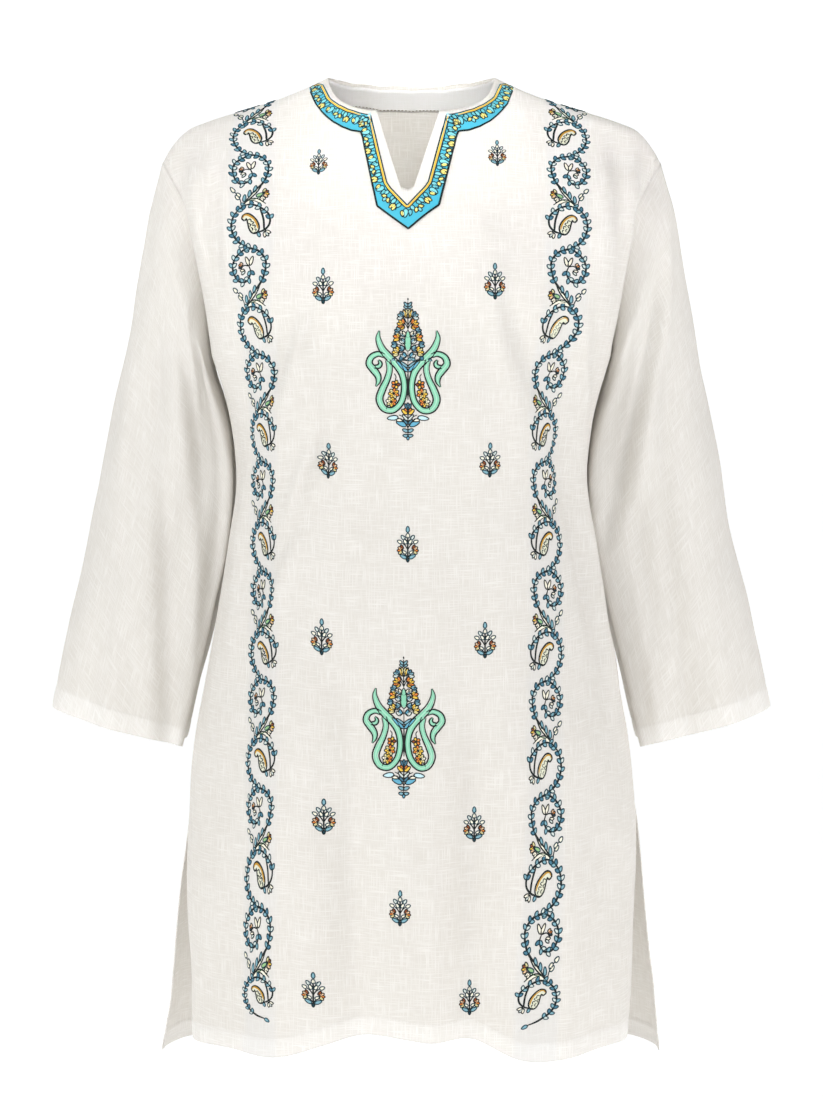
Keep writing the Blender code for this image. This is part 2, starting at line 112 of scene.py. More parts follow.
frontYoke = (
    # rise, edge x, edge y, turn, depth
    (0.00, 0.1820, 0.000, 90, 0.1275),
    (0.20, 0.1835, -0.020, 98, 0.1240),
    (0.40, 0.1870, -0.031, 104, 0.1100),
    (0.60, 0.1945, -0.034, 103, 0.0880),
    (0.80, 0.2055, -0.030, 92, 0.0590),
    (0.90, 0.2155, -0.018, 72, 0.0390),
    (1.00, 0.2260, 0.000, 60, 0.0000),
)
backYoke = (
    # rise, edge x, edge y, turn, depth
    (0.00, 0.1820, 0.000, 90, 0.1170),
    (0.20, 0.1845, 0.024, 95, 0.1190),
    (0.40, 0.1895, 0.042, 97, 0.1170),
    (0.60, 0.1975, 0.050, 95, 0.1070),
    (0.80, 0.2080, 0.042, 86, 0.0800),
    (0.90, 0.2165, 0.026, 72, 0.0560),
    (1.00, 0.2260, 0.000, 60, 0.0000),
)
shoulderLine = (
    # across, height
    (0.0753, 0.0015),
    (0.0915, -0.0063),
    (0.1200, -0.0178),
    (0.1577, -0.0295),
    (0.1873, -0.0390),
    (0.2036, -0.0463),
    (0.2151, -0.0574),
    (0.2221, -0.0678),
    (0.2260, -0.0752),
)
neckline = (
    # across, height
    (0.0000, -0.1005),
    (0.0059, -0.0980),
    (0.0281, -0.0299),
    (0.0380, -0.0294),
    (0.0473, -0.0277),
    (0.0560, -0.0248),
    (0.0631, -0.0209),
    (0.0680, -0.0163),
    (0.0714, -0.0112),
    (0.0740, -0.0050),
    (0.0753, 0.0015),
)
borderInner = (
    # across, height
    (0.0000, -0.1140),
    (0.0173, -0.0962),
    (0.0330, -0.0346),
    (0.0385, -0.0339),
    (0.0444, -0.0326),
    (0.0550, -0.0293),
    (0.0640, -0.0248),
    (0.0705, -0.0200),
    (0.0755, -0.0148),
    (0.0785, -0.0090),
    (0.0798, -0.0034),
)
borderOuter = (
    # across, height
    (0.0000, -0.1355),
    (0.0294, -0.1140),
    (0.0299, -0.1045),
    (0.0356, -0.0800),
    (0.0424, -0.0502),
    (0.0520, -0.0489),
    (0.0611, -0.0453),
    (0.0690, -0.0407),
    (0.0765, -0.0347),
    (0.0835, -0.0275),
    (0.0888, -0.0190),
    (0.0921, -0.0100),
)
backNeckline = (
    # across, height
    (0.0000, -0.0044),
    (0.0295, -0.0039),
    (0.0551, -0.0016),
    (0.0753, 0.0015),
)
facingLine = (
    # across, height
    (0.0000, -0.0263),
    (0.0296, -0.0258),
    (0.0552, -0.0229),
    (0.0754, -0.0195),
    (0.0867, -0.0156),
    (0.0951, -0.0117),
)
# past their ends the same rows run on over the shoulder: share, level
innerBeyond = ((0.40, 0.990), (0.50, 0.980), (1.00, 0.960))
outerBeyond = ((0.50, 0.940), (0.60, 0.900), (1.00, 0.860))

frontFolds = (
    # top x, bottom x, width, depth, top, bottom
    (-0.140, -0.128, 0.034, 0.011, -0.430, -0.960),
    (-0.060, -0.043, 0.026, -0.008, -0.440, -0.960),
    (0.022, 0.018, 0.020, 0.004, -0.480, -0.960),
    (0.052, 0.053, 0.020, -0.004, -0.500, -0.960),
    (0.135, 0.124, 0.032, 0.012, -0.440, -0.960),
    (-0.150, -0.118, 0.024, -0.005, -0.170, -0.320),
    (0.150, 0.116, 0.024, -0.005, -0.170, -0.320),
)
backFolds = (
    # top x, bottom x, width, depth, top, bottom
    (-0.150, -0.140, 0.034, 0.010, -0.430, -0.960),
    (-0.075, -0.060, 0.030, -0.008, -0.400, -0.960),
    (0.005, 0.012, 0.030, 0.007, -0.440, -0.960),
    (0.080, 0.076, 0.028, -0.008, -0.400, -0.960),
    (0.150, 0.146, 0.034, 0.010, -0.430, -0.960),
    (-0.050, -0.030, 0.020, 0.005, -0.080, -0.360),
    (0.060, 0.040, 0.020, 0.005, -0.100, -0.370),
)
hemLift = (
    # across, lift
    (-0.250, 0.009),
    (-0.170, 0.016),
    (-0.115, 0.0165),
    (-0.080, 0.0265),
    (-0.045, 0.0345),
    (0.020, 0.0305),
    (0.053, 0.032),
    (0.100, 0.0125),
    (0.145, 0.012),
    (0.190, 0.015),
    (0.250, 0.010),
)


def column(table, index):
    return np.array([row[index] for row in table])


def through(xs, ys, at):  # smooth curve through a table's points, flat beyond its ends
    slopes = np.gradient(ys, xs, axis=0)
    first = np.clip(np.searchsorted(xs, at) - 1, 0, len(xs) - 2)
    width = xs[first + 1] - xs[first]
    t = np.clip((at - xs[first]) / width, 0.0, 1.0)
    start, end = ys[first], ys[first + 1]
    bendIn, bendOut = slopes[first] * width, slopes[first + 1] * width
    cubic = 2 * start - 2 * end + bendIn + bendOut
    square = 3 * end - 3 * start - 2 * bendIn - bendOut
    return ((cubic * t + square) * t + bendIn) * t + start


def fade(start, end, at):  # 0 before start, 1 after end, soft between
    t = np.clip((at - start) / (end - start), 0.0, 1.0)
    return t * t * (3 - 2 * t)


def rowOfBody(edgeX, edgeY, turn, depth, fullness, shares):  # half a row, centre to edge
    power = 2 / fullness
    angles = np.linspace(0.0, math.radians(turn), body["outlineSteps"])
    sines = np.sin(angles) ** power
    cosines = np.sign(np.cos(angles)) * np.abs(np.cos(angles)) ** power
    last = cosines[-1]
    middle = (edgeY - depth * last) / (1 - last)
    x = edgeX * sines / sines[-1]
    y = middle + (depth - middle) * cosines
    lengths = np.concatenate([[0], np.cumsum(np.hypot(np.diff(x), np.diff(y)))])
    at = shares * lengths[-1]
    return np.interp(at, lengths, x), np.interp(at, lengths, y), lengths[-1]


# front or back, over share of half width and level: -2 hem, -1 slit top, 0 underarm, 1 shoulder
class clothPanel:
    def __init__(self, side, hem, slit, yoke, folds, creases, lift):
        self.side, self.hem, self.lift = side, hem, lift
        self.folds, self.creases = folds, creases
        self.marks = np.linspace(-2, 1, body["tableRows"])
        self.shares = np.linspace(0, 1, body["tableColumns"])
        levels = np.where(self.marks < 0, self.marks, 1 - (1 - self.marks) ** 2)
        rows = [self.rowAt(level, slit, yoke) for level in levels]
        self.x = np.array([row[0] for row in rows])
        self.y = np.array([row[1] for row in rows]) * side
        self.halfLength = np.array([row[2] for row in rows])

    def rowAt(self, level, slit, yoke):
        if level < 0:
            heights = column(sections, 0)
            height = self.skirtHeight(level)
            stands = 3 if self.side < 0 else 4
            edgeX, edgeY, depth = (
                through(heights, column(sections, i), height) for i in (1, 2, stands)
            )
            opened = max(-1 - level, 0)
            edgeX += through(column(slit, 0), column(slit, 1), opened)
            edgeY += through(column(slit, 0), column(slit, 2), opened)
            turn, fullness = 90.0, body["skirtFullness"]
        else:
            rises = column(yoke, 0)
            edgeX, turn = (through(rises, column(yoke, i), level) for i in (1, 3))
            crowns = -np.sqrt(1 - rises)  # over this root the cloth lies flat at the seam
            edgeY, depth = (
                through(crowns, column(yoke, i), -math.sqrt(1 - level)) for i in (2, 4)
            )
            more = body["yokeFullness"] - body["skirtFullness"]
            fullness = body["skirtFullness"] + more * fade(0.0, body["squareFrom"], level)
        return rowOfBody(edgeX, edgeY * self.side, turn, depth, fullness, self.shares)

    def skirtHeight(self, level):
        upper = body["underarm"] + level * (body["underarm"] - body["slitTop"])
        lower = body["slitTop"] + (level + 1) * (body["slitTop"] - self.hem)
        return np.where(level < -1, lower, upper)

    def topHeight(self, share):
        across = share * body["shoulder"]
        seam = through(column(shoulderLine, 0), column(shoulderLine, 1), across)
        inNeck = 1 - np.clip(across / body["neck"], 0, 1) ** 2
        return np.where(across < body["neck"], body["neckPoint"] + body["neckRise"] * inNeck, seam)

    def mark(self, level):
        return np.where(level < 0, level, 1 - np.sqrt(1 - np.clip(level, 0, 1)))

    def lookUp(self, table, share, level):
        row = (self.mark(level) + 2) / 3 * (len(self.marks) - 1)
        col = share * (len(self.shares) - 1)
        r = np.clip(row.astype(int), 0, len(self.marks) - 2)
        c = np.clip(col.astype(int), 0, len(self.shares) - 2)
        u, v = row - r, col - c
        low = table[r, c] * (1 - v) + table[r, c + 1] * v
        high = table[r + 1, c] * (1 - v) + table[r + 1, c + 1] * v
        return low * (1 - u) + high * u

    def height(self, share, level):
        yoke = body["underarm"] + level * (self.topHeight(share) - body["underarm"])
        return np.where(level < 0, self.skirtHeight(level), yoke)

    def yokeLevel(self, share, height):
        return (height - body["underarm"]) / (self.topHeight(share) - body["underarm"])

    def find(self, across, height):  # (share, level) of the point seen from the front at this place
        share = np.array(across / body["shoulder"])
        for _ in range(body["searches"]):
            seen = self.lookUp(self.x, share, self.yokeLevel(share, height))
            share = np.clip(share + (across - seen) / body["shoulder"], 0.0, 1.0)
        return share, self.yokeLevel(share, height)

    def points(self, signedShare, level):
        share = np.abs(signedShare)
        x = self.lookUp(self.x, share, level) * np.sign(signedShare)
        y = self.lookUp(self.y, share, level) + self.side * body["seam"] / 2
        z = self.height(share, level)
        length = np.interp(self.mark(level), self.marks, self.halfLength)
        across = signedShare * length
        push = np.zeros_like(x)
        for topX, bottomX, width, depth, top, bottom in self.folds:
            down = np.clip((z - top) / (bottom - top), 0, 1)
            bell = np.exp(-(((across - topX - (bottomX - topX) * down) / width) ** 2))
            if bottom < self.hem:
                reach = fade(0.0, body["hemFoldStart"], down)
            else:
                reach = fade(0.0, body["foldStart"], down) * (1 - fade(body["foldEnd"], 1.0, down))
            push += depth * bell * reach
        push += creasePush(across, z, self.creases)
        push *= 1 - fade(body["stillEdge"], 1.0, share)
        rise = through(column(hemLift, 0), column(hemLift, 1), across)
        z = z + self.lift * fade(-1.0, -2.0, level) * rise
        flat = np.stack([x, y, z], axis=-1)
        return flat + push[..., None] * self.normals(flat)

    def normals(self, grid):
        normal = np.cross(np.gradient(grid, axis=1), np.gradient(grid, axis=0)) * -self.side
        return normal / np.linalg.norm(normal, axis=-1, keepdims=True)


def creasePush(across, height, creases):  # soft troughs and ridges along short lines
    push = np.zeros_like(across)
    for fromX, fromZ, toX, toZ, width, depth in creases:
        runX, runZ = toX - fromX, toZ - fromZ
        length = math.hypot(runX, runZ)
        along = ((across - fromX) * runX + (height - fromZ) * runZ) / length**2
        aside = ((across - fromX) * runZ - (height - fromZ) * runX) / length
        ends = fade(*body["creaseStart"], along) * (1 - fade(*body["creaseEnd"], along))
        push += depth * np.exp(-((aside / width) ** 2)) * ends
    return push


sleeve = {
    "gap": 1.4,  # times the seam, along the slant that leads away from the armhole
    "fullness": 2.15,
    "hem": 0.018,
    "tuck": 0.007,  # its seam allowance, under the body
    "tuckEnd": 0.0004,
    "tuckMark": 0.0015,
    "tuckGap": 0.0004,
    "cornerAngle": 15,  # beside the body the cloth hangs forward, not round
    "cornerWidth": 25,
    "cornerForward": 0.024,
    "cornerGrows": (0.10, 0.38),
    "creaseStart": (0.0, 0.3),
    "creaseEnd": (0.7, 1.0),
    "rowStep": 0.0048,
    "firstRow": 0.012,
    "hemZone": 0.026,
    "lieStart": 2.0,
    "lieRound": 0.11,
    "liePhase": 1.3,
    "lieShare": 0.8,
    "stillTop": 0.08,
}
sleeveRings = (
    # outer x, outer z, inner x, inner z, middle y, half depth
    (-0.2364, -0.1071, -0.1805, -0.2660, 0.012, 0.050),
    (-0.2464, -0.1563, -0.1735, -0.2900, 0.026, 0.054),
    (-0.2575, -0.2106, -0.1640, -0.3260, 0.040, 0.056),
    (-0.2725, -0.2800, -0.1580, -0.3748, 0.048, 0.056),
    (-0.2872, -0.3498, -0.1620, -0.4250, 0.052, 0.056),
    (-0.3014, -0.4199, -0.1735, -0.4803, 0.052, 0.056),
    (-0.3162, -0.4904, -0.1885, -0.5430, 0.048, 0.056),
    (-0.3362, -0.5775, -0.2050, -0.6131, 0.043, 0.057),
)
# angle round the sleeve (0 underarm, 90 front, 180 outside), turn, width, depth, start, end
leftSleeveFolds = (
    (62, 8, 13, -0.006, 0.12, 0.80),
    (92, 10, 14, 0.004, 0.10, 0.90),
    (125, -6, 12, -0.003, 0.25, 1.00),
    (215, 10, 16, -0.005, 0.15, 0.90),
    (285, -10, 18, -0.005, 0.10, 0.85),
)
rightSleeveFolds = (
    (60, 10, 14, -0.006, 0.15, 0.85),
    (95, 6, 13, 0.004, 0.10, 0.80),
    (128, -8, 12, -0.003, 0.20, 0.90),
    (220, 8, 15, -0.005, 0.20, 0.95),
    (280, -8, 17, -0.005, 0.12, 0.80),
)


def sharesAlong(edge):
    lengths = np.linalg.norm(np.diff(edge, axis=0), axis=1)
    lengths = np.concatenate([[0], np.cumsum(lengths)])
    return lengths / lengths[-1]


def halfRing(outerX, outerZ, innerX, innerZ, middleY, halfDepth, at):
    power = 2 / sleeve["fullness"]
    angles = np.linspace(0, math.pi, body["outlineSteps"])
    along = np.sign(np.cos(angles)) * np.abs(np.cos(angles)) ** power
    forward = np.sin(angles) ** power
    halfWidth = math.hypot(outerX - innerX, outerZ - innerZ) / 2
    shares = sharesAlong(np.stack([along * halfWidth, forward * halfDepth], axis=1))
    along, forward = np.interp(at, shares, along), np.interp(at, shares, forward)
    x = (outerX + innerX) / 2 + (innerX - outerX) / 2 * along
    z = (outerZ + innerZ) / 2 + (innerZ - outerZ) / 2 * along
    return np.stack([x, middleY - halfDepth * forward, z], axis=-1)


def ringOfSleeve(ring, frontAt, backAt):  # from the underarm by the front and outside to the back
    front, back = halfRing(*ring, frontAt), halfRing(*ring, backAt)
    back[:, 1] = 2 * ring[4] - back[:, 1]
    return np.concatenate([front, back[-2:0:-1]])


def roundNormals(grid):  # of a tube whose columns close on themselves
    around = np.gradient(np.concatenate([grid[:, -1:], grid, grid[:, :1]], 1), axis=1)
    normal = np.cross(np.gradient(grid, axis=0), around[:, 1:-1])
    middle = grid.mean(axis=1, keepdims=True)
    normal *= np.sign((normal * (grid - middle)).sum(-1, keepdims=True))
    return normal / np.linalg.norm(normal, axis=-1, keepdims=True)


# Creases: from x, from z, to x, to z, width, depth, all along the cloth
frontCreases = (
    (-0.193, -0.055, -0.191, -0.165, 0.007, 0.0050),
    (-0.180, -0.085, -0.177, -0.200, 0.007, -0.0050),
    (-0.166, -0.060, -0.166, -0.200, 0.008, 0.0034),
    (-0.120, -0.300, -0.086, -0.195, 0.006, 0.0050),
    (-0.134, -0.290, -0.102, -0.200, 0.006, -0.0040),
    (-0.078, -0.215, -0.074, -0.370, 0.014, -0.0050),
    (-0.116, -0.405, -0.084, -0.305, 0.006, 0.0048),
    (-0.100, -0.400, -0.072, -0.315, 0.007, -0.0040),
    (-0.128, -0.480, -0.098, -0.400, 0.007, 0.0044),
    (-0.170, -0.330, -0.176, -0.520, 0.014, 0.0038),
    (-0.150, -0.380, -0.146, -0.600, 0.010, -0.0034),
    (0.202, -0.050, 0.195, -0.160, 0.007, 0.0050),
    (0.185, -0.070, 0.200, -0.200, 0.008, -0.0046),
    (0.172, -0.060, 0.176, -0.180, 0.009, 0.0030),
    (0.084, -0.188, 0.126, -0.300, 0.010, -0.0064),
    (0.064, -0.180, 0.098, -0.310, 0.012, 0.0038),
    (0.152, -0.185, 0.182, -0.320, 0.010, 0.0056),
    (0.130, -0.270, 0.198, -0.560, 0.011, -0.0070),
    (0.182, -0.340, 0.222, -0.590, 0.010, 0.0050),
    (-0.060, -0.120, -0.082, -0.220, 0.022, 0.0023),
    (0.055, -0.110, 0.060, -0.220, 0.024, 0.0023),
    (-0.010, -0.420, -0.004, -0.700, 0.022, -0.0023),
    (0.085, -0.430, 0.078, -0.720, 0.020, 0.0023),
    (-0.098, -0.430, -0.094, -0.960, 0.018, 0.0054),
    (-0.056, -0.430, -0.052, -0.960, 0.018, -0.0057),
    (0.014, -0.440, 0.014, -0.960, 0.018, 0.0049),
    (0.056, -0.440, 0.056, -0.960, 0.018, -0.0054),
    (0.088, -0.480, 0.086, -0.960, 0.014, 0.0043),
    (0.124, -0.480, 0.120, -0.960, 0.016, -0.0049),
)
backCreases = (
    (-0.180, -0.160, -0.140, -0.250, 0.013, -0.0046),
    (0.185, -0.155, 0.145, -0.240, 0.012, -0.0042),
    (-0.100, -0.120, -0.075, -0.330, 0.018, 0.0038),
    (0.105, -0.130, 0.080, -0.340, 0.018, 0.0034),
    (-0.020, -0.060, -0.030, -0.260, 0.026, -0.0023),
    (0.160, -0.330, 0.170, -0.560, 0.013, 0.0042),
    (-0.165, -0.340, -0.170, -0.540, 0.013, 0.0038),
    (-0.040, -0.400, -0.034, -0.640, 0.016, 0.0030),
    (0.044, -0.420, 0.040, -0.680, 0.016, 0.0030),
)
# round the sleeve: angle, turn, width, depth, start, end; past 1 it runs on to the cuff
bodyHollow = (2, 0, 20, -0.0095, 0.22, 1.01)  # holds the inner side clear of the body
leftSleeveCreases = (
    (135, -90, 9, -0.0060, 0.12, 1.00),
    (103, -78, 9, 0.0056, 0.15, 0.95),
    (160, -62, 13, 0.0040, 0.15, 1.00),
    (54, -20, 7, -0.0036, 0.03, 0.80),
    (74, -10, 5, 0.0026, 0.02, 0.40),
    (250, 12, 8, 0.0032, 0.20, 0.70),
    (300, -14, 8, -0.0032, 0.35, 0.85),
)
rightSleeveCreases = (
    (130, -100, 9, -0.0064, 0.04, 0.60),
    (150, -100, 10, 0.0050, 0.04, 0.62),
    (112, -36, 9, -0.0052, 0.20, 1.00),
    (134, -24, 14, 0.0044, 0.22, 1.00),
    (64, -12, 7, 0.0032, 0.45, 1.00),
    (246, 10, 8, 0.0032, 0.25, 0.75),
    (305, -12, 8, -0.0032, 0.30, 0.80),
)
# The uneven lie of soft cloth, none of whose waves runs straight
bendAcross = ((0.020, 17, 1), (0.008, 43, 2))  # reach, waves, share of the start
bendDown = ((0.015, 21, 3),)
liePhases = 40
unevenLie = (
    # wave length, direction, phase, height
    (0.210, 82, 0.4, 0.00100),
    (0.145, 101, 2.1, 0.00070),
    (0.097, 66, 4.4, 0.00045),
    (0.071, 116, 1.2, 0.00030),
    (0.052, 88, 3.3, 0.00022),
    (0.160, 12, 5.0, 0.00050),
    (0.034, 74, 0.9, 0.00012),
)
weight = {
    "stitchDepth": 0.00045,
    "stitchWidth": 0.0011,
    "hemPuff": 0.00030,
    "hemSoft": 0.001,
    "bodyHem": 0.0165,
    "slitHem": 0.0065,
    "slitOpens": (-1.05, -0.97),  # levels about the top of the slit
    "stillSide": (0.90, 1.0),
    "stillAbove": (-1.1, -0.9),
    "stillTop": 0.06,
    "hemZone": 0.024,  # rows lie closer in it
    "edgeStep": 0.0018,
    "seamStart": 0.2150,  # across, from where columns lie closer
    "seamStep": 0.0019,
}
# columns across, in metres, and rows up each stretch: slit, side seam, yoke, trim and above it
frontPlan = {
    "neckStep": 0.0026,
    "shoulderStep": 0.0046,
    "rows": (46, 94, 44, 12, 3, 1),
    "lieStart": 0.7,
}
backPlan = {
    "step": 0.0050,
    "rows": (44, 84, 52, 7, 1),
    "lieStart": 3.9,
}


def uneven(across, down, start):
    bentAcross = across + sum(reach * np.sin(down * waves + k * start) for reach, waves, k in bendAcross)
    bentDown = down + sum(reach * np.sin(across * waves + k * start) for reach, waves, k in bendDown)
    lie = np.zeros_like(across)
    for length, direction, phase, height in unevenLie:
        turn = math.radians(direction)
        way = bentAcross * math.sin(turn) + bentDown * math.cos(turn)
        lie += height * np.sin(2 * math.pi * way / length + phase + start * length * liePhases)
    return lie


def withinHem(distance, width):  # 1 where the cloth is turned up, 0 past its stitching
    return 1 - fade(width - weight["hemSoft"], width + weight["hemSoft"], distance)


def hemShape(distance, width):  # pulled in along its stitching, a little full below it
    groove = np.exp(-(((distance - width) / weight["stitchWidth"]) ** 2))
    full = np.sin(np.clip(distance / width, 0, 1) * math.pi)
    return weight["hemPuff"] * full - weight["stitchDepth"] * groove


def refine(stops, step):  # every stop, and even steps between them
    found = [stops[0]]
    for start, end in zip(stops, stops[1:]):
        count = max(1, round((end - start) / step))
        found += [start + (end - start) * i / count for i in range(1, count + 1)]
    return np.array(found)


def bothSides(half):
    return np.concatenate([-half[:0:-1], half])


def stepsBetween(lines, counts):
    rows = [lines[0]]
    for low, high, count in zip(lines, lines[1:], counts):
        rows += [low + (high - low) * step / count for step in range(1, count + 1)]
    return np.array(rows)


def lineLevels(panel, outline, beyond, shares):
    share, level = panel.find(column(outline, 0), column(outline, 1))
    share = np.concatenate([share, column(beyond, 0)])
    level = np.concatenate([level, column(beyond, 1)])
    return np.interp(shares, share, level)


def shellQuads(rows, columns, closed):  # corner rows, corner columns and side of each quad
    r, c = np.meshgrid(np.arange(rows - 1), np.arange(columns - 1), indexing="ij")
    r, c = r.ravel(), c.ravel()
    outer = [(r, c, 0), (r, c + 1, 0), (r + 1, c + 1, 0), (r + 1, c, 0)]
    inner = [(rr, cc, 1) for rr, cc, _ in outer[::-1]]
    along, top = np.arange(columns - 1), np.full(columns - 1, rows - 1)
    low = top * 0
    rims = [
        [(low, along + 1, 0), (low, along, 0), (low, along, 1), (low, along + 1, 1)],
        [(top, along, 0), (top, along + 1, 0), (top, along + 1, 1), (top, along, 1)],
    ]
    if not closed:
        up, last = np.arange(rows - 1), np.full(rows - 1, columns - 1)
        first = last * 0
        rims.append([(up, first, 0), (up + 1, first, 0), (up + 1, first, 1), (up, first, 1)])
        rims.append([(up + 1, last, 0), (up, last, 0), (up, last, 1), (up + 1, last, 1)])
    found = []
    for quad in [outer, inner, *rims]:
        found.append(np.stack([np.stack(np.broadcast_arrays(*corner)) for corner in quad], axis=-1))
    return np.concatenate(found, axis=1).transpose(1, 2, 0)


def addObject(name, mesh):
    obj = bpy.data.objects.new(name, mesh)
    bpy.context.scene.collection.objects.link(obj)
    return obj


def addLayer(mesh, name, kind, values):  # a value for each point
    layer = mesh.attributes.new(name, kind, "POINT")
    what = {"FLOAT": "value", "FLOAT_VECTOR": "vector", "FLOAT_COLOR": "color"}[kind]
    layer.data.foreach_set(what, np.array(values, np.float32).ravel())


def addMesh(name, points, faces, corners=None):
    mesh = bpy.data.meshes.new(name)
    mesh.from_pydata(points.tolist(), [], faces.tolist())
    mesh.shade_smooth()
    if corners is not None:
        layer = mesh.uv_layers.new(name="cloth")
        layer.data.foreach_set("uv", corners.astype(np.float32).ravel())
    return addObject(name, mesh)


class laidPart:  # a grid of points with their normals and their places on the flat cloth
    def __init__(self, grid, normal, across, down):
        self.grid, self.normal, self.across, self.down = grid, normal, across, down


def addShell(name, part, wall, double, closed=False):  # a part with its thickness
    grid, normal = part.grid, part.normal
    rows, columns = grid.shape[:2]
    inner = grid - wall[..., None] * normal
    points = np.concatenate([grid.reshape(-1, 3), inner.reshape(-1, 3)])
    quads = shellQuads(rows, part.across.shape[1], closed)
    r, c, layer = quads[..., 0], quads[..., 1], quads[..., 2]
    faces = layer * rows * columns + r * columns + c % columns
    corners = np.stack([part.across[r, c], part.down[r, c]], axis=-1)
    row, col = rows // 2, columns // 3
    way = np.cross(grid[row, col + 1] - grid[row, col], grid[row + 1, col] - grid[row, col])
    if way @ normal[row, col] < 0:
        faces, corners = faces[:, ::-1], corners[:, ::-1]
    obj = addMesh(name, points, faces, corners)
    addLayer(obj.data, "double", "FLOAT", [double, double])
    return obj


def addGuide(name, part):  # one side of a part, for laying thread on
    rows, columns = part.grid.shape[:2]
    r, c = np.meshgrid(np.arange(rows - 1), np.arange(columns - 1), indexing="ij")
    r, c = r.ravel(), c.ravel()
    rr, cc = np.stack([r, r, r + 1, r + 1], -1), np.stack([c, c + 1, c + 1, c], -1)
    corners = np.stack([part.across[rr, cc], part.down[rr, cc]], axis=-1)
    faces = rr * columns + cc
    grid = part.grid
    if np.cross(grid[1, 1] - grid[1, 0], grid[1, 0] - grid[0, 0]) @ part.normal[1, 0] < 0:
        faces, corners = faces[:, ::-1], corners[:, ::-1]
    return addMesh(name, grid.reshape(-1, 3), faces, corners)


def runDown(grid, start):  # length along each column, from the row called start
    steps = np.linalg.norm(np.diff(grid, axis=0), axis=-1)
    lengths = np.concatenate([np.zeros((1, grid.shape[1])), np.cumsum(steps, axis=0)])
    return lengths - lengths[start]


def cutLevels(panel, shares, lines, counts):  # level of each row and column, from hem to top
    hemTop = weight["hemZone"] / (body["slitTop"] - panel.hem) - 2.0
    flat = [np.full(len(shares), level) for level in (-2.0, hemTop, -1.0, 0.0)]
    levels = stepsBetween([*flat, *lines], counts)
    return np.concatenate([levels[:, :0:-1], levels], axis=1)


class cutPiece:  # one panel worked out as a grid
    def __init__(self, panel, shares, lines, plan, lean=0.0):
        counts = (round(weight["hemZone"] / weight["edgeStep"]), *plan["rows"])
        self.underarmRow = sum(counts[:3])
        self.trimRows = slice(sum(counts[:4]), sum(counts[:5]) + 1)
        self.levels = cutLevels(panel, shares, lines, counts)
        self.signed = np.broadcast_to(bothSides(shares), self.levels.shape)
        grid = panel.points(self.signed, self.levels)
        if lean:
            beside = 1 - fade(*body["leanAcross"], np.abs(grid[..., 0]))
            grid[..., 0] += lean * beside * fade(*body["leanDown"], grid[..., 2])
        length = np.interp(panel.mark(self.levels), panel.marks, panel.halfLength)
        self.across = self.signed * length
        self.down = runDown(grid, self.underarmRow)
        fromHem = (self.levels + 2) * (body["slitTop"] - panel.hem)
        fromSide = (1 - np.abs(self.signed)) * length
        opened = 1 - fade(*weight["slitOpens"], self.levels)
        push = uneven(self.across, self.down, plan["lieStart"])
        still = fade(*weight["stillSide"], np.abs(self.signed)) * fade(*weight["stillAbove"], self.levels)
        push *= 1 - still
        push *= fade(0.0, weight["stillTop"], self.levels[-1:] - self.levels)
        push += hemShape(fromHem, weight["bodyHem"])
        push += hemShape(fromSide, weight["slitHem"]) * opened
        self.grid = grid + push[..., None] * panel.normals(grid)
        self.normal = panel.normals(self.grid)
        inSlit = withinHem(fromSide, weight["slitHem"]) * opened
        self.double = np.maximum(withinHem(fromHem, weight["bodyHem"]), inSlit)


def turnedLine(top):  # where the neck's narrow edge is turned, or just under the shoulder seam
    return np.where(top < 1, top - body["neckEdge"], body["seamRow"])


def seamColumns():  # columns close to the armhole
    return refine([weight["seamStart"], body["shoulder"]], weight["seamStep"])[1:]


def frontPiece(front):
    stops = {*column(neckline, 0), *column(borderInner[:-1], 0), *column(borderOuter[:-1], 0)}
    across = refine(sorted(x for x in stops if x <= body["neck"]), frontPlan["neckStep"])
    heights = np.interp(across, column(neckline, 0), column(neckline, 1))
    neckShare, neckTop = front.find(across, heights)
    stops = [body["neck"], borderInner[-1][0], borderOuter[-1][0], weight["seamStart"]]
    shoulder = np.concatenate([refine(stops, frontPlan["shoulderStep"])[1:], seamColumns()])
    shares = np.concatenate([neckShare, shoulder / body["shoulder"]])
    top = np.concatenate([neckTop, np.ones(len(shoulder))])
    inner = lineLevels(front, borderInner, innerBeyond, shares)
    outer = lineLevels(front, borderOuter, outerBeyond, shares)
    return cutPiece(front, shares, [outer, inner, turnedLine(top), top], frontPlan, body["neckLean"])


def backPiece(back):
    neckShare, neckTop = back.find(column(backNeckline, 0), column(backNeckline, 1))
    widths = refine([0, body["neck"], weight["seamStart"]], backPlan["step"])
    shares = np.concatenate([widths, seamColumns()]) / body["shoulder"]
    inNeck = shares <= neckShare[-1] + 1e-6
    top = np.where(inNeck, np.interp(shares, neckShare, neckTop), 1.0)
    line = lineLevels(back, facingLine, outerBeyond, shares)
    return cutPiece(back, shares, [line, turnedLine(top), top], backPlan)


def armholeOf(piece, side):  # its edge and normals, told as if it were on the left
    rows = piece.grid.shape[0]
    keep = [*range(piece.underarmRow, rows - 2), rows - 1]
    at, mirror = (0, (1, 1, 1)) if side < 0 else (-1, (-1, 1, 1))
    return piece.grid[keep, at] * mirror, piece.normal[keep, at] * mirror


def aroundFrom(angles, start):  # degrees round the sleeve from a start, the short way
    return (angles - start + 180) % 360 - 180


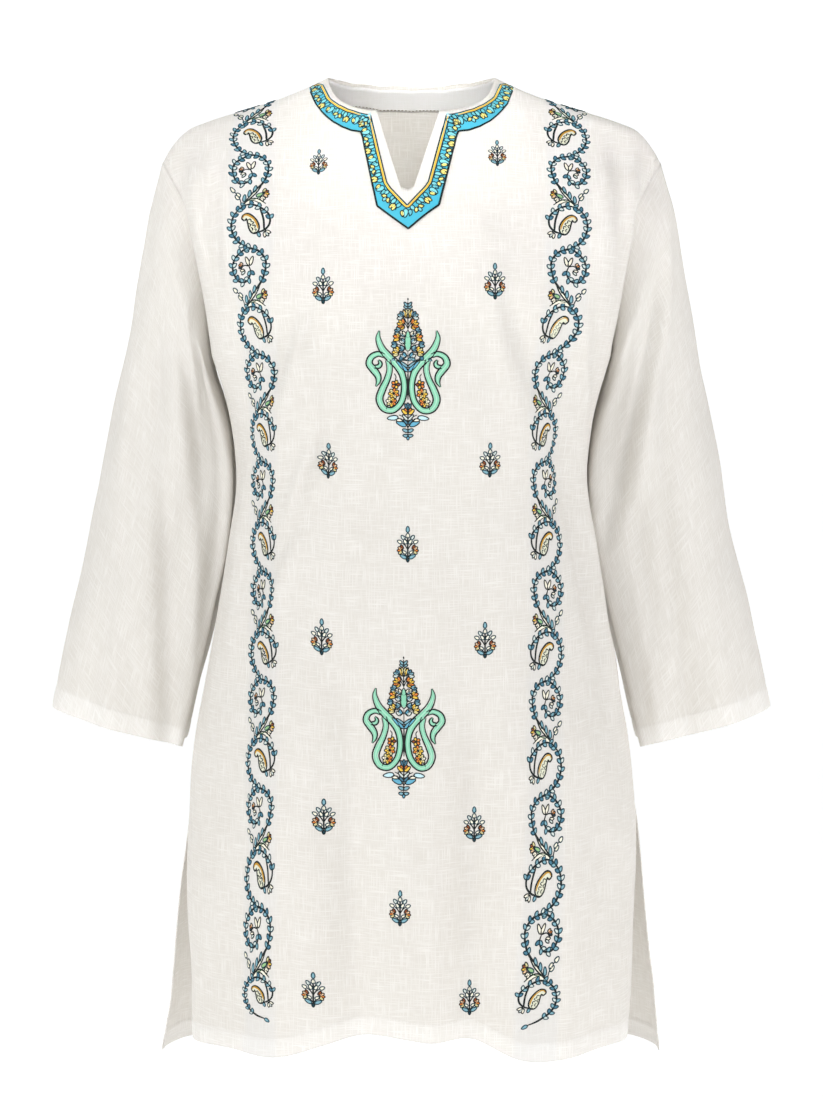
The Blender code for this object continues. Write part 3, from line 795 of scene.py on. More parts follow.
class sleevePiece:  # a tube from the armhole to the cuff, worked out as if it were the left one
    def __init__(self, side, frontArmhole, backArmhole, creases, start):
        self.joinArmhole(frontArmhole, backArmhole)
        spots = self.rowSpots()
        flat = [through(self.marks, self.rings.reshape(len(self.rings), -1), spot) for spot in spots]
        grid = np.array(flat).reshape(len(spots), -1, 3)
        aside = aroundFrom(self.angles, sleeve["cornerAngle"]) / sleeve["cornerWidth"]
        grows = fade(*sleeve["cornerGrows"], spots)[:, None]
        grid[..., 1] -= sleeve["cornerForward"] * np.exp(-(aside**2)) * grows
        around = np.concatenate([grid, grid[:, :1]], axis=1)
        rounds = np.linalg.norm(np.diff(around, axis=1), axis=-1)
        self.across = np.concatenate([np.zeros((len(spots), 1)), np.cumsum(rounds, axis=1)], axis=1)
        self.down = -runDown(around, 0)
        fromHem = (1 - spots[:, None]) * self.length + np.zeros(grid.shape[:2])
        push = self.creasesAt(spots, creases) + self.lieAt(spots, start)
        push += hemShape(fromHem, sleeve["hem"])
        self.grid = grid + push[..., None] * roundNormals(grid)
        self.double = withinHem(fromHem, sleeve["hem"])
        self.addTuck()
        if side > 0:
            self.grid = self.grid * (-1, 1, 1)
        self.normal = roundNormals(self.grid)

    def joinArmhole(self, frontArmhole, backArmhole):
        (frontEdge, frontNormal), (backEdge, backNormal) = frontArmhole, backArmhole
        edge = np.concatenate([frontEdge, backEdge[-2:0:-1]])
        edge[0] = (frontEdge[0] + backEdge[0]) / 2
        edge[len(frontEdge) - 1] = (frontEdge[-1] + backEdge[-1]) / 2
        frontAt, backAt = sharesAlong(frontEdge), sharesAlong(backEdge)
        self.angles = np.concatenate([180 * frontAt, 360 - 180 * backAt[-2:0:-1]])
        rings = [ringOfSleeve(ring, frontAt, backAt) for ring in sleeveRings]
        down = rings[0] - edge
        down /= np.linalg.norm(down, axis=-1, keepdims=True)
        outward = np.concatenate([frontNormal, backNormal[-2:0:-1]])
        away = down + outward
        away /= np.linalg.norm(away, axis=-1, keepdims=True)
        self.edge, self.along, self.outward = edge, down, outward
        self.rings = np.array([edge + sleeve["gap"] * body["seam"] * away] + rings)
        steps = np.linalg.norm(np.diff(self.rings.mean(axis=1), axis=0), axis=1)
        marks = np.concatenate([[0], np.cumsum(steps)])
        self.length = marks[-1]
        self.marks = marks / self.length

    def rowSpots(self):  # shares of the length, closer in the hem
        hemStart = 1 - sleeve["hemZone"] / self.length
        spots = refine([0.0, sleeve["firstRow"], hemStart], sleeve["rowStep"] / self.length)
        inHem = refine([hemStart, 1.0], weight["edgeStep"] / self.length)[1:]
        return np.concatenate([spots, inHem])

    def creasesAt(self, spots, creases):
        push = 0.0
        for angle, turn, width, depth, begin, end in creases:
            reach = (spots - begin) / (end - begin)
            aside = aroundFrom(self.angles, (angle + turn * reach)[:, None])
            dies = fade(*sleeve["creaseEnd"], reach) * (end < 1)
            soft = fade(*sleeve["creaseStart"], reach) * (1 - dies)
            push = push + depth * np.exp(-((aside / width) ** 2)) * soft[:, None]
        return push

    def lieAt(self, spots, start):
        turned = self.across[:, :-1] / self.across[:, -1:] * 2 * math.pi
        down, reach = self.down[:, :-1], sleeve["lieRound"]
        lie = uneven(reach * np.sin(turned), down, start)
        lie += uneven(reach * np.cos(turned), down, start + sleeve["liePhase"])
        return sleeve["lieShare"] * lie * fade(0.0, sleeve["stillTop"], spots)[:, None]

    def addTuck(self):  # its seam allowance lies under the body
        under = body["cloth"] + sleeve["tuckGap"]
        lengths = sleeve["tuck"], sleeve["tuckEnd"]
        tuck = [self.edge - length * self.along - under * self.outward for length in lengths]
        self.grid = np.concatenate([tuck, self.grid])
        self.across = np.concatenate([self.across[:1], self.across[:1], self.across])
        first = self.down[:1]
        self.down = np.concatenate([first + sleeve["tuck"], first + sleeve["tuckMark"], self.down])
        self.double = np.concatenate([self.double[:1], self.double[:1], self.double])


def buildCloth():
    front = clothPanel(-1, body["frontHem"], frontSlit, frontYoke, frontFolds, frontCreases, 1.0)
    back = clothPanel(1, body["backHem"], backSlit, backYoke, backFolds, backCreases, 0.0)
    pieces = {"front": frontPiece(front), "back": backPiece(back)}
    for side, key, creases in (
        (-1, "left", (*leftSleeveFolds, bodyHollow, *leftSleeveCreases)),
        (1, "right", (*rightSleeveFolds, bodyHollow, *rightSleeveCreases)),
    ):
        holes = armholeOf(pieces["front"], side), armholeOf(pieces["back"], side)
        pieces[key] = sleevePiece(side, *holes, creases, sleeve["lieStart"] + side)
    return pieces


def trimOn(piece, outline, lift):  # a trim that lies on a piece, as far out as its outline goes
    reach = outline[-1][0] / body["shoulder"]
    columns = np.nonzero(np.abs(piece.signed[0]) <= reach + 1e-6)[0]
    span = piece.trimRows, slice(columns[0], columns[-1] + 1)
    normal = piece.normal[span]
    return laidPart(piece.grid[span] + lift * normal, normal, piece.across[span], piece.down[span])


def addTrim(name, part):
    wall = np.full(part.across.shape, body["trim"])
    return addShell(name, part, wall, wall * 0)


# each piece of cloth, and the solid whose place it takes
clothNames = {
    "front": ("frontCloth", "front_panel"),
    "back": ("backCloth", "back_panel"),
    "left": ("leftSleeveCloth", "sleeve_left"),
    "right": ("rightSleeveCloth", "sleeve_right"),
}
pieces = buildCloth()
cloth = {}
for key, (name, node) in clothNames.items():
    wall = body["cloth"] + (body["hemCloth"] - body["cloth"]) * pieces[key].double
    cloth[key] = addShell(name, pieces[key], wall, pieces[key].double, key in ("left", "right"))
band = trimOn(pieces["front"], borderOuter, body["seam"] + body["trim"])
facing = trimOn(pieces["back"], facingLine, -body["cloth"] - body["seam"])
neckBand = addTrim("neckBand", band)
neckFacing = addTrim("neckFacing", facing)
print("cloth laid out")


def tone(code):  # a hex colour as seen, made linear
    parts = [int(code[i : i + 2], 16) / 255 for i in (0, 2, 4)]
    return (*(p / 12.92 if p <= 0.04045 else ((p + 0.055) / 1.055) ** 2.4 for p in parts), 1.0)


def newMaterial(name, rough, sheen=0.0):
    material = bpy.data.materials.new(name)
    material.use_nodes = True
    tree = material.node_tree
    shader = tree.nodes["Principled BSDF"]
    shader.inputs["Roughness"].default_value = rough
    shader.inputs["Specular IOR Level"].default_value = 0.25
    shader.inputs["Sheen Weight"].default_value = sheen
    shader.inputs["Sheen Roughness"].default_value = 0.6
    return material, tree, shader


def addNode(tree, kind, settings=None, **links):  # i0, i1 and so on are inputs by their number
    node = tree.nodes.new(kind)
    for key, value in (settings or {}).items():
        if isinstance(key, str) and hasattr(node, key):
            setattr(node, key, value)
        else:
            node.inputs[key].default_value = value
    for key, source in links.items():
        place = int(key[1:]) if key[0] == "i" and key[1:].isdigit() else key.replace("_", " ")
        tree.links.new(source, node.inputs[place])
    return node


# patterns of the cotton, in repeats a metre of cloth
weave = {
    "warp": (1050, 44, 1),  # slubs running down: 1 mm apart, 23 mm long
    "weft": (48, 900, 1),  # slubs running across: 1.1 mm apart, 21 mm long
    "slubs": (0.48, 0.70),  # of the noise, from thin thread to slub
    "slubShare": 0.70,
    "clouds": 14.0,  # patches 70 mm wide where the cloth is paler or darker
    "cloudShare": 0.30,
    "threads": 520.0,  # a thread each 0.6 mm, twice as coarse as real ones, which wouldn't show
    "threadDepth": 0.22,
    "pressed": "E9E8E6",
    "pressedShare": 0.45,
    "throughSingle": 0.30,
    "throughDouble": 0.12,
}


def makeCotton(name, base, shade):
    # slub cotton: plain weave with thicker threads both ways that catch the light
    material, tree, shader = newMaterial(name, 0.86, 0.12)
    place = addNode(tree, "ShaderNodeUVMap", {"uv_map": "cloth"}).outputs["UV"]
    low, high = weave["slubs"]
    slubs = []
    for scale in (weave["warp"], weave["weft"]):
        stretched = addNode(tree, "ShaderNodeMapping", {"Scale": scale}, Vector=place)
        noise = addNode(
            tree, "ShaderNodeTexNoise", {"Scale": 1.0, "Detail": 3.0, "Roughness": 0.55},
            Vector=stretched.outputs[0],
        )
        ramp = addNode(
            tree, "ShaderNodeMapRange", {"From Min": low, "From Max": high}, Value=noise.outputs[0]
        )
        slubs.append(ramp.outputs[0])
    both = addNode(tree, "ShaderNodeMath", {"operation": "MAXIMUM"}, i0=slubs[0], i1=slubs[1]).outputs[0]
    clouds = addNode(
        tree, "ShaderNodeTexNoise", {"Scale": weave["clouds"], "Detail": 3.0, "Roughness": 0.6},
        Vector=place,
    )
    slubPart = addNode(tree, "ShaderNodeMath", {"operation": "MULTIPLY", 1: weave["slubShare"]}, i0=both)
    cloudPart = addNode(
        tree, "ShaderNodeMath", {"operation": "MULTIPLY", 1: weave["cloudShare"]}, i0=clouds.outputs[0]
    )
    mixed = addNode(
        tree, "ShaderNodeMath", {"operation": "ADD"}, i0=slubPart.outputs[0], i1=cloudPart.outputs[0]
    )
    dyed = addNode(
        tree, "ShaderNodeMix", {"data_type": "RGBA", "clamp_factor": True, 6: tone(shade), 7: tone(base)},
        i0=mixed.outputs[0],
    )
    # greyer where stitching presses it flat
    strip = addNode(tree, "ShaderNodeAttribute", {"attribute_name": "strip"})
    flattened = addNode(
        tree, "ShaderNodeMath", {"operation": "MULTIPLY", 1: weave["pressedShare"]}, i0=strip.outputs["Fac"]
    )
    colour = addNode(
        tree, "ShaderNodeMix", {"data_type": "RGBA", 7: tone(weave["pressed"])},
        i0=flattened.outputs[0], i6=dyed.outputs[2],
    ).outputs[2]
    tree.links.new(colour, shader.inputs["Base Color"])
    crossed = []
    for direction in ("X", "Y"):
        wave = addNode(
            tree, "ShaderNodeTexWave",
            {"wave_type": "BANDS", "bands_direction": direction, "Scale": weave["threads"],
             "Distortion": 0.8, "Detail": 1.0, "Detail Scale": 3.0},
            Vector=place,
        )
        crossed.append(wave.outputs["Fac"])
    threads = addNode(tree, "ShaderNodeMath", {"operation": "ADD"}, i0=crossed[0], i1=crossed[1])
    shallow = addNode(
        tree, "ShaderNodeMath", {"operation": "MULTIPLY", 1: weave["threadDepth"]}, i0=threads.outputs[0]
    )
    height = addNode(tree, "ShaderNodeMath", {"operation": "ADD"}, i0=shallow.outputs[0], i1=both)
    bump = addNode(
        tree, "ShaderNodeBump", {"Strength": 0.30, "Distance": 0.0004}, Height=height.outputs[0]
    )
    tree.links.new(bump.outputs[0], shader.inputs["Normal"])
    # thin cloth: light from behind comes through, less where it is sewn double
    double = addNode(tree, "ShaderNodeAttribute", {"attribute_name": "double"})
    letThrough = addNode(
        tree, "ShaderNodeMapRange", {"To Min": weave["throughSingle"], "To Max": weave["throughDouble"]},
        Value=double.outputs["Fac"],
    )
    glow = addNode(tree, "ShaderNodeBsdfTranslucent", Color=colour)
    mix = addNode(
        tree, "ShaderNodeMixShader", i0=letThrough.outputs[0], i1=shader.outputs[0], i2=glow.outputs[0]
    )
    tree.links.new(mix.outputs[0], tree.nodes["Material Output"].inputs["Surface"])
    return material


def makeSilk():  # silk band: a close, smooth weave with a soft shine
    material, _, shader = newMaterial("turquoiseSilkBand", 0.55, 0.2)
    shader.inputs["Base Color"].default_value = tone("3BAAC4")
    return material


def makeThread():
    # stranded thread: a little shine, and ridges across each stitch, drawn 1.5 mm apart to show
    material, tree, shader = newMaterial("embroideryThread", 0.6)
    colour = addNode(tree, "ShaderNodeAttribute", {"attribute_name": "thread"})
    stitch = addNode(tree, "ShaderNodeAttribute", {"attribute_name": "stitch"})
    ridges = addNode(
        tree, "ShaderNodeTexWave",
        {"wave_type": "BANDS", "bands_direction": "DIAGONAL", "Scale": 420.0,
         "Distortion": 1.2, "Detail": 1.0},
        Vector=stitch.outputs["Vector"],
    )
    bump = addNode(
        tree, "ShaderNodeBump", {"Strength": 0.25, "Distance": 0.0001}, Height=ridges.outputs["Fac"]
    )
    tree.links.new(colour.outputs["Color"], shader.inputs["Base Color"])
    tree.links.new(bump.outputs[0], shader.inputs["Normal"])
    return material


def paint(obj, material):
    obj.data.materials.clear()
    obj.data.materials.append(material)


cotton = makeCotton("offWhiteSlubCotton", "FBF9F5", "E8E4DD")
for obj in cloth.values():
    paint(obj, cotton)
# painted light: the neck facing is the same cotton, painted whiter and plainer so that it looks lit inside
# the neck
paint(neckFacing, makeCotton("facingCottonPaintedLight", "FFFFFF", "F8F7F5"))
paint(neckBand, makeSilk())
print("cloth coloured")


threadTones = {
    "ink": "141C1C", "teal": "123A45", "steel": "47788F", "sky": "7FABB8", "blue": "62A9C4",
    "paleBlue": "BFE0E8", "mist": "D0DAD5", "mint": "87C9A9", "mintPale": "A4D8BE",
    "green": "2F5B3C", "leafGreen": "93BD86", "paisley": "D9DAC4", "cream": "F1ECD8",
    "straw": "DCD39A", "lemon": "F0DC7A", "yellow": "EBC047", "gold": "C08F2E",
    "peach": "E9C49C", "orange": "DE8136", "rust": "8A4520", "brown": "9C8B78",
    "white": "F1EFEA", "bandGold": "E9B93A", "bandEdge": "0C3A44", "bandTeal": "69BDC9",
    "aqua": "7CCBD4",
}
needle = {  # in millimetres, as all needlework is drawn
    "step": 1.25,
    "curveSteps": 8,
    "under": -0.10,
    "lineRise": 0.45,
    "lineEnds": 0.55,  # share of the width at a line's ends
    "lineTaper": 6,  # the line is full a sixth of the way in
    "fieldRise": 0.16,
    "overField": 0.12,
    "petalRise": 0.30,
    "petalCrown": 0.08,
    "petalFoot": 0.10,  # share of its length from the flower's middle
    "leafSides": 10,
    "leafBelly": 0.25,
    "leafCrown": 0.55,
    "edge": 1.3,
    "edgeRise": 0.05,
    "edgeRun": 2.2,  # times the leaf's length
    "ribbonMiddle": 0.30,
    "ribbonEdge": 1.35,
    "overRibbon": 0.16,
}
mm = 0.001


def smoothPath(points, step=needle["step"]):  # soft curve through points, in even steps
    p = np.array(points, float)
    if np.allclose(p[0], p[-1]):
        p = np.concatenate([p[-2:-1], p, p[1:2]])
    else:
        p = np.concatenate([2 * p[:1] - p[1:2], p, 2 * p[-1:] - p[-2:-1]])
    t = np.linspace(0, 1, needle["curveSteps"], endpoint=False)[:, None]
    parts = []
    for a, b, c, d in zip(p, p[1:], p[2:], p[3:]):
        bend = (2 * a - 5 * b + 4 * c - d) * t**2 + (3 * b - a - 3 * c + d) * t**3
        parts.append(0.5 * (2 * b + (c - a) * t + bend))
    path = np.concatenate([*parts, p[-2:-1]])
    run = np.concatenate([[0], np.cumsum(np.linalg.norm(np.diff(path[:, :2], axis=0), axis=1))])
    at = np.linspace(0, run[-1], max(3, round(run[-1] / step)) + 1)
    return np.stack([np.interp(at, run, row) for row in path.T], axis=1), at


def sideways(path):  # the way to the left of the path at each point
    way = np.gradient(path, axis=0)
    way /= np.maximum(np.linalg.norm(way, axis=1, keepdims=True), 1e-9)
    return np.stack([-way[:, 1], way[:, 0]], axis=1)


class motif:  # flat needlework in millimetres: x across, y up, z out of the cloth
    def __init__(self):
        self.points, self.faces, self.colours, self.stitch = [], [], [], []
        self.lift = 0.0

    def add(self, points, faces, colour, stitch):
        start = len(self.points)
        self.points += [(x, y, z + self.lift) for x, y, z in points]
        self.faces += [[start + corner for corner in face] for face in faces]
        self.colours += [tone(threadTones[colour])] * len(points)
        self.stitch += [(along, aside, 0.0) for along, aside in stitch]

    def strip(self, path, at, half, colour, rise):  # raised thread along a path
        side = sideways(path)
        points, stitch, faces = [], [], []
        for spot, out, along, reach in zip(path, side, at, half):
            for aside, height in ((1, needle["under"]), (0, rise), (-1, needle["under"])):
                points.append((*(spot + aside * reach * out), height))
                stitch.append((along, aside * reach))
        for row in range(0, 3 * (len(path) - 1), 3):
            faces += [(row, row + 1, row + 4, row + 3), (row + 1, row + 2, row + 5, row + 4)]
        self.add(points, faces, colour, stitch)

    def line(self, colour, width, points):
        path, at = smoothPath(points)
        share = at / at[-1]
        ends = needle["lineEnds"]
        full = np.minimum(1, needle["lineTaper"] * np.minimum(share, 1 - share))
        half = width / 2 * (ends + (1 - ends) * full)
        if np.allclose(path[0], path[-1]):
            half = np.full(len(path), width / 2)
        self.strip(path, at, half, colour, needle["lineRise"])

    def field(self, colour, points):  # flat filling inside a closed curve
        path = smoothPath([*points, points[0]])[0][:-1]
        corners = [Vector((x, y, 0)) for x, y in path]
        faces = [tuple(face) for face in tessellate_polygon([corners])]
        placed = [(x, y, needle["fieldRise"]) for x, y in path]
        turned = []
        for a, b, c in faces:
            one, two = path[b] - path[a], path[c] - path[a]
            turned.append((a, b, c) if one[0] * two[1] > one[1] * two[0] else (a, c, b))
        self.add(placed, turned, colour, path)

    def band(self, colour, middle, points):  # satin ribbon with its outlines: x, y, width
        path, at = smoothPath(points)
        half, path = path[:, 2] / 2, path[:, :2]
        side = sideways(path)
        self.strip(path, at, half, colour, needle["petalRise"])
        self.lift += needle["overRibbon"]
        self.strip(path, at, half * needle["ribbonMiddle"], middle, needle["petalRise"])
        for aside in (1, -1):
            self.line("ink", needle["ribbonEdge"], path + aside * half[:, None] * side)
        self.lift -= needle["overRibbon"]

    def leaf(self, x, y, angle, length, width, fill, edge="ink"):  # from its foot at x, y
        turn = math.radians(angle)
        along = np.array([math.cos(turn), math.sin(turn)])
        aside = np.array([-along[1], along[0]])
        sides, crown = needle["leafSides"], needle["leafCrown"]
        outline, inner = [], []
        for i in range(sides):
            share = 2 * math.pi * i / sides
            run = (1 - math.cos(share)) / 2
            reach = width / 2 * math.sin(share) * (1 + needle["leafBelly"] * math.cos(share))
            outline.append(run * length * along + reach * aside + (x, y))
            inner.append((0.5 + (run - 0.5) * crown) * length * along + crown * reach * aside + (x, y))
        outline, inner = np.array(outline[::-1]), np.array(inner[::-1])
        if np.cross(*(outline[[1, 3]] - outline[0])) < 0:
            outline, inner = outline[::-1], inner[::-1]
        low, high = needle["under"], needle["petalRise"]
        points = [(*p, low) for p in outline] + [(*p, high) for p in inner]
        points.append((*inner.mean(axis=0), high + needle["petalCrown"]))
        faces = []
        for i in range(sides):
            after = (i + 1) % sides
            faces += [(i, after, sides + after, sides + i), (sides + i, sides + after, 2 * sides)]
        fromFoot = np.array(points)[:, :2] - (x, y)
        self.add(points, faces, fill, zip(fromFoot @ along, fromFoot @ aside))
        if edge:
            ring = np.concatenate([outline, outline[:1]])
            at = np.linspace(0, needle["edgeRun"] * length, sides + 1)
            half = np.full(sides + 1, needle["edge"] / 2)
            self.strip(ring, at, half, edge, needle["lineRise"] + needle["edgeRise"])

    def flower(self, x, y, angle, spread, length, width, fills):  # petals fanned about an angle
        count = len(fills)
        for i, fill in enumerate(fills):
            turn = angle + spread * ((i + 0.5) / count - 0.5)
            foot = math.radians(turn)
            reach = needle["petalFoot"] * length
            self.leaf(x + reach * math.cos(foot), y + reach * math.sin(foot), turn, length, width, fill)

    def joined(self, other, flipped):  # another motif's work added, mirrored or not
        sign = -1 if flipped else 1
        start = len(self.points)
        self.points += [(sign * x, y, z) for x, y, z in other.points]
        self.faces += [[start + c for c in (face[::-1] if flipped else face)] for face in other.faces]
        self.colours += other.colours
        self.stitch += other.stitch

    def build(self, name):
        mesh = bpy.data.meshes.new(name)
        mesh.from_pydata([[mm * c for c in point] for point in self.points], [], self.faces)
        mesh.shade_smooth()
        addLayer(mesh, "thread", "FLOAT_COLOR", self.colours)
        addLayer(mesh, "stitch", "FLOAT_VECTOR", mm * np.array(self.stitch))
        return addObject(name, mesh)


vine = {
    "pitch": 92.5,
    "width": 39.2,  # of one repeat
    "centre": 8.8,
    "stem": 2.1,
    "leafLength": 4.6,
    "leafWidth": 2.9,
    "leafOpened": 46,
    "leafFills": ("sky", "steel", "sky", "mist"),
    "main": (
        (0, 0), (-7, -8), (-9, -20), (-4, -32), (6, -39), (17, -43), (23.5, -53), (20, -68), (9, -81),
        (0, -92.5),
    ),
    "scroll": ((12, -40.5), (3, -41), (-6, -48), (-8.5, -58), (-4, -68), (4, -69), (9, -62), (7.5, -56)),
    "arch": ((0, 0), (8, 1.2), (17, -2), (25, -9), (25.5, -18), (20, -24), (12, -26)),
    "strut": ((16.5, -2), (20, -13), (21, -24)),
    "second": ((18.5, -70.5), (13, -80), (4, -88.5), (0, -92.5)),
    "under": ((0, -92.5), (7, -86.5), (14, -86), (22, -91)),
    "paisley": (
        (3, -14.2), (4.6, -12.4), (6, -17), (7.4, -22.4), (10.4, -26.2), (14.4, -26), (16.4, -21.4),
        (14.6, -15.4), (10, -10), (5.4, -7.6), (1.4, -9), (0.4, -12),
    ),
    "paisleyBack": ((1.2, -11.4), (2.6, -9.0), (6, -9.2), (11.4, -13), (14.4, -18.4), (15.2, -22)),
    "paisleyMarks": (
        ((6, -14), (8.4, -13), (9, -16)), ((9.4, -15.4), (11.6, -16.4), (9.4, -18.4)),
        ((6.8, -17), (8.6, -18.4), (7.8, -20.4)), ((10, -19.4), (12.8, -19), (12.4, -21.8)),
        ((9, -21), (10.8, -22.4), (10, -24.2)), ((12.2, -22.8), (14, -22.6), (13.2, -24.8)),
    ),
}


def vineLeaves(work, points, begin, end, step):  # pairs of leaves that point back along a stem
    path, at = smoothPath(points)
    side = sideways(path)
    fills = vine["leafFills"]
    for i, spot in enumerate(np.arange(begin, end, step)):
        x, y = (np.interp(spot, at, path[:, k]) for k in (0, 1))
        left = [np.interp(spot, at, side[:, k]) for k in (0, 1)]
        back = math.degrees(math.atan2(left[0], -left[1]))
        for aside in (1, -1):
            fill, turn = fills[(i + (aside > 0)) % len(fills)], back + aside * vine["leafOpened"]
            work.leaf(x, y, turn, vine["leafLength"], vine["leafWidth"], fill, "teal")


def vineHead(work):  # the upper half of one repeat: arch, paisley and scroll
    work.lift = 0.0
    work.field("paisley", vine["paisley"])
    work.lift = needle["overField"]
    for line in ("arch", "strut"):
        work.line("ink", 1.9, vine[line])
    work.line("ink", 1.7, (*vine["paisley"], vine["paisley"][0]))
    work.line("gold", 2.0, vine["paisleyBack"])
    for points in vine["paisleyMarks"]:
        work.line("ink", 1.35, points)
    vineLeaves(work, vine["arch"], 3, 33, 7.2)
    work.flower(21.5, -24.5, -50, 110, 5.2, 2.6, ("cream", "mist", "cream"))
    work.leaf(15.5, -26, -65, 4.2, 2.6, "sky", "teal")


def vineTurn(work):  # the lower half: the scroll with its bud, and the trumpet flower
    work.lift = 0.0
    work.field("cream", ((18.5, -70.5), (13, -80), (4, -88.5), (0, -92.3), (9, -81)))
    work.field("cream", ((0.5, -92.3), (7, -86.8), (14, -86.3), (21, -90.5), (10, -88.6)))
    work.lift = needle["overField"]
    work.line("ink", 1.9, vine["scroll"])
    work.line("ink", 1.5, vine["second"])
    work.line("ink", 1.4, vine["under"])
    work.line("ink", 1.0, ((9, -87.4), (14, -89), (17.4, -93)))
    work.line("green", 1.0, ((6, -87.6), (12, -86.4), (17, -83.4)))
    vineLeaves(work, vine["scroll"], 9, 62, 6.5)
    work.line("ink", 1.1, ((7.5, -56), (3, -55), (-1, -57)))
    work.flower(8, -56, 92, 90, 8.4, 3.0, ("cream", "cream"))
    work.flower(1, -55.5, 160, 120, 3.6, 2.4, ("peach", "orange", "teal"))
    work.flower(3.5, -59.5, 200, 90, 4.4, 2.2, ("cream", "mist"))
    work.flower(19.4, -80.8, 12, 150, 4.8, 2.8, ("peach", "yellow", "rust", "straw"))
    work.leaf(13.0, -83.6, 25, 7.0, 3.0, "leafGreen", "teal")
    work.leaf(18.6, -80.6, 15, 2.6, 2.0, "ink")
    work.flower(16.5, -84, -40, 60, 4.8, 2.6, ("cream", "cream"))
    for x, y, angle in ((2, -88, 85), (6.5, -84, 83), (11, -79.5, 75)):
        work.leaf(x, y, angle, 7.0, 2.8, "sky", "teal")
    work.line("ink", 1.0, ((-0.5, -92), (-1.4, -86), (-5, -79.5), (-7.4, -77)))
    for x, y, angle in ((-2.4, -84.8, 130), (-2, -83, 118), (-6.6, -78, 128)):
        work.leaf(x, y, angle, 5.2, 3.1, "cream", "teal")


def vineUnit(last=False):
    work = motif()
    vineHead(work)
    if last:  # the vine stops in a leaf tip
        stem, end = vine["main"][:6], 48
        work.line("ink", vine["stem"], stem)
        vineLeaves(work, stem, 5, end, 6.5)
        work.leaf(*stem[-1], -30, 6.0, 3.2, "sky", "teal")
    else:
        vineTurn(work)
        work.line("ink", vine["stem"], vine["main"])
        vineLeaves(work, vine["main"], 5, 90, 6.5)
    return work


def sprig():
    work = motif()
    work.line("ink", 1.7, ((0, -14), (0, -6), (0, 9)))
    for side in (1, -1):
        work.line("ink", 1.3, ((0, 2), (3 * side, 5), (4.0 * side, 7)))
        work.line("ink", 1.3, ((0, -5), (2.4 * side, -1), (5.0 * side, 1.0)))
        work.line("ink", 1.3, ((0, -12), (2.4 * side, -9), (5.0 * side, -6.6)))
        work.leaf(2.6 * side, 4.0, 90 - 40 * side, 4.8, 2.9, "mist", "teal")
        work.leaf(5.2 * side, 1.0, 90 - 62 * side, 4.4, 2.8, "cream", "teal")
        work.leaf(1.2 * side, 0.2, 90 - 30 * side, 4.6, 2.6, "cream", "teal")
        fills = ("straw", "orange", "peach", "rust")[::side]
        work.flower(4.4 * side, -5.4, 90 - 76 * side, 150, 4.6, 2.7, fills)
        work.leaf(1.4 * side, -8.2, 90 - 64 * side, 4.2, 2.4, "cream", "teal")
        work.leaf(1.2 * side, -12.6, 90 - 62 * side, 6.4, 2.9, "sky", "teal")
    work.leaf(0, 5.4, 90, 4.4, 3.2, "cream", "teal")
    work.leaf(0, 10.4, 90, 5.4, 2.9, "sky", "teal")
    work.leaf(0, -12.4, -90, 3.6, 2.4, "teal")
    return work


butaRibbons = (  # x, y, width: the outer paisley, its curl and the hook inside the curl
    (
        (-25, 34.5, 0.8), (-26, 27.5, 4.2), (-22.5, 18.5, 5.8), (-15.5, 10.5, 6.6), (-9, 4, 6.4),
        (-4.6, -5, 5.2), (-3.2, -16, 5.0), (-5.8, -28, 5.0), (-13, -35.6, 5.2), (-21, -34.2, 5.6),
        (-25, -26, 6.0), (-22.4, -17, 5.8), (-18.2, -8, 5.0), (-16, 1, 4.8), (-17.6, 9, 4.2),
    ),
    (
        (-20.5, 12.4, 3.4), (-26, 14.2, 4.2), (-32, 11.4, 4.8), (-34, 5.6, 5.6), (-30.4, 0.6, 6.0),
        (-26.4, -5, 5.2), (-26, -10, 3.6), (-28.2, -14.5, 0.7),
    ),
    ((-29.6, 3, 2.4), (-25.6, 3.2, 3.4), (-24, 6, 3.0), (-25.8, 9, 0.9)),
)
butaFlowers = (
    # x, y, angle, spread, length, width, petals
    (-3.4, 46, 140, 130, 5.6, 3.4, ("sky", "steel", "sky", "mist")),
    (-3.4, 39.2, 150, 120, 5.8, 3.0, ("orange", "yellow", "yellow", "orange")),
    (-2.6, 38.6, 205, 50, 4.6, 2.6, ("orange", "yellow")),
    (-6.6, 33.2, 160, 100, 5.0, 2.9, ("sky", "steel", "sky")),
    (-4.2, 31.4, 160, 80, 3.8, 2.6, ("cream", "mist")),
    (-6.6, 28.2, 165, 110, 6.0, 3.3, ("yellow", "orange", "yellow")),
    (-2.6, 23.4, 140, 60, 5.0, 2.9, ("sky", "mist")),
    (-9.0, 21.8, 172, 70, 5.2, 3.2, ("steel", "sky")),
    (-7.4, 15.2, 160, 120, 6.0, 3.5, ("yellow", "straw", "yellow", "straw")),
    (-2.0, 10.6, 130, 80, 5.0, 3.2, ("blue", "mist")),
    (-3.0, 17.4, 150, 70, 5.0, 3.0, ("sky", "steel")),
    (-2.2, 29.2, 130, 60, 5.0, 2.8, ("cream", "sky")),
    (-10.8, -12.6, 0, 360, 3.6, 3.0, ("orange", "yellow", "rust", "yellow", "orange")),
    (
        -12.4, -20.6, 30, 360, 4.4, 3.4,
        ("yellow", "straw", "orange", "yellow", "orange", "straw", "yellow"),
    ),
    (
        -14.6, -28, 15, 360, 4.4, 3.4,
        ("straw", "yellow", "orange", "orange", "yellow", "straw", "cream"),
    ),
)
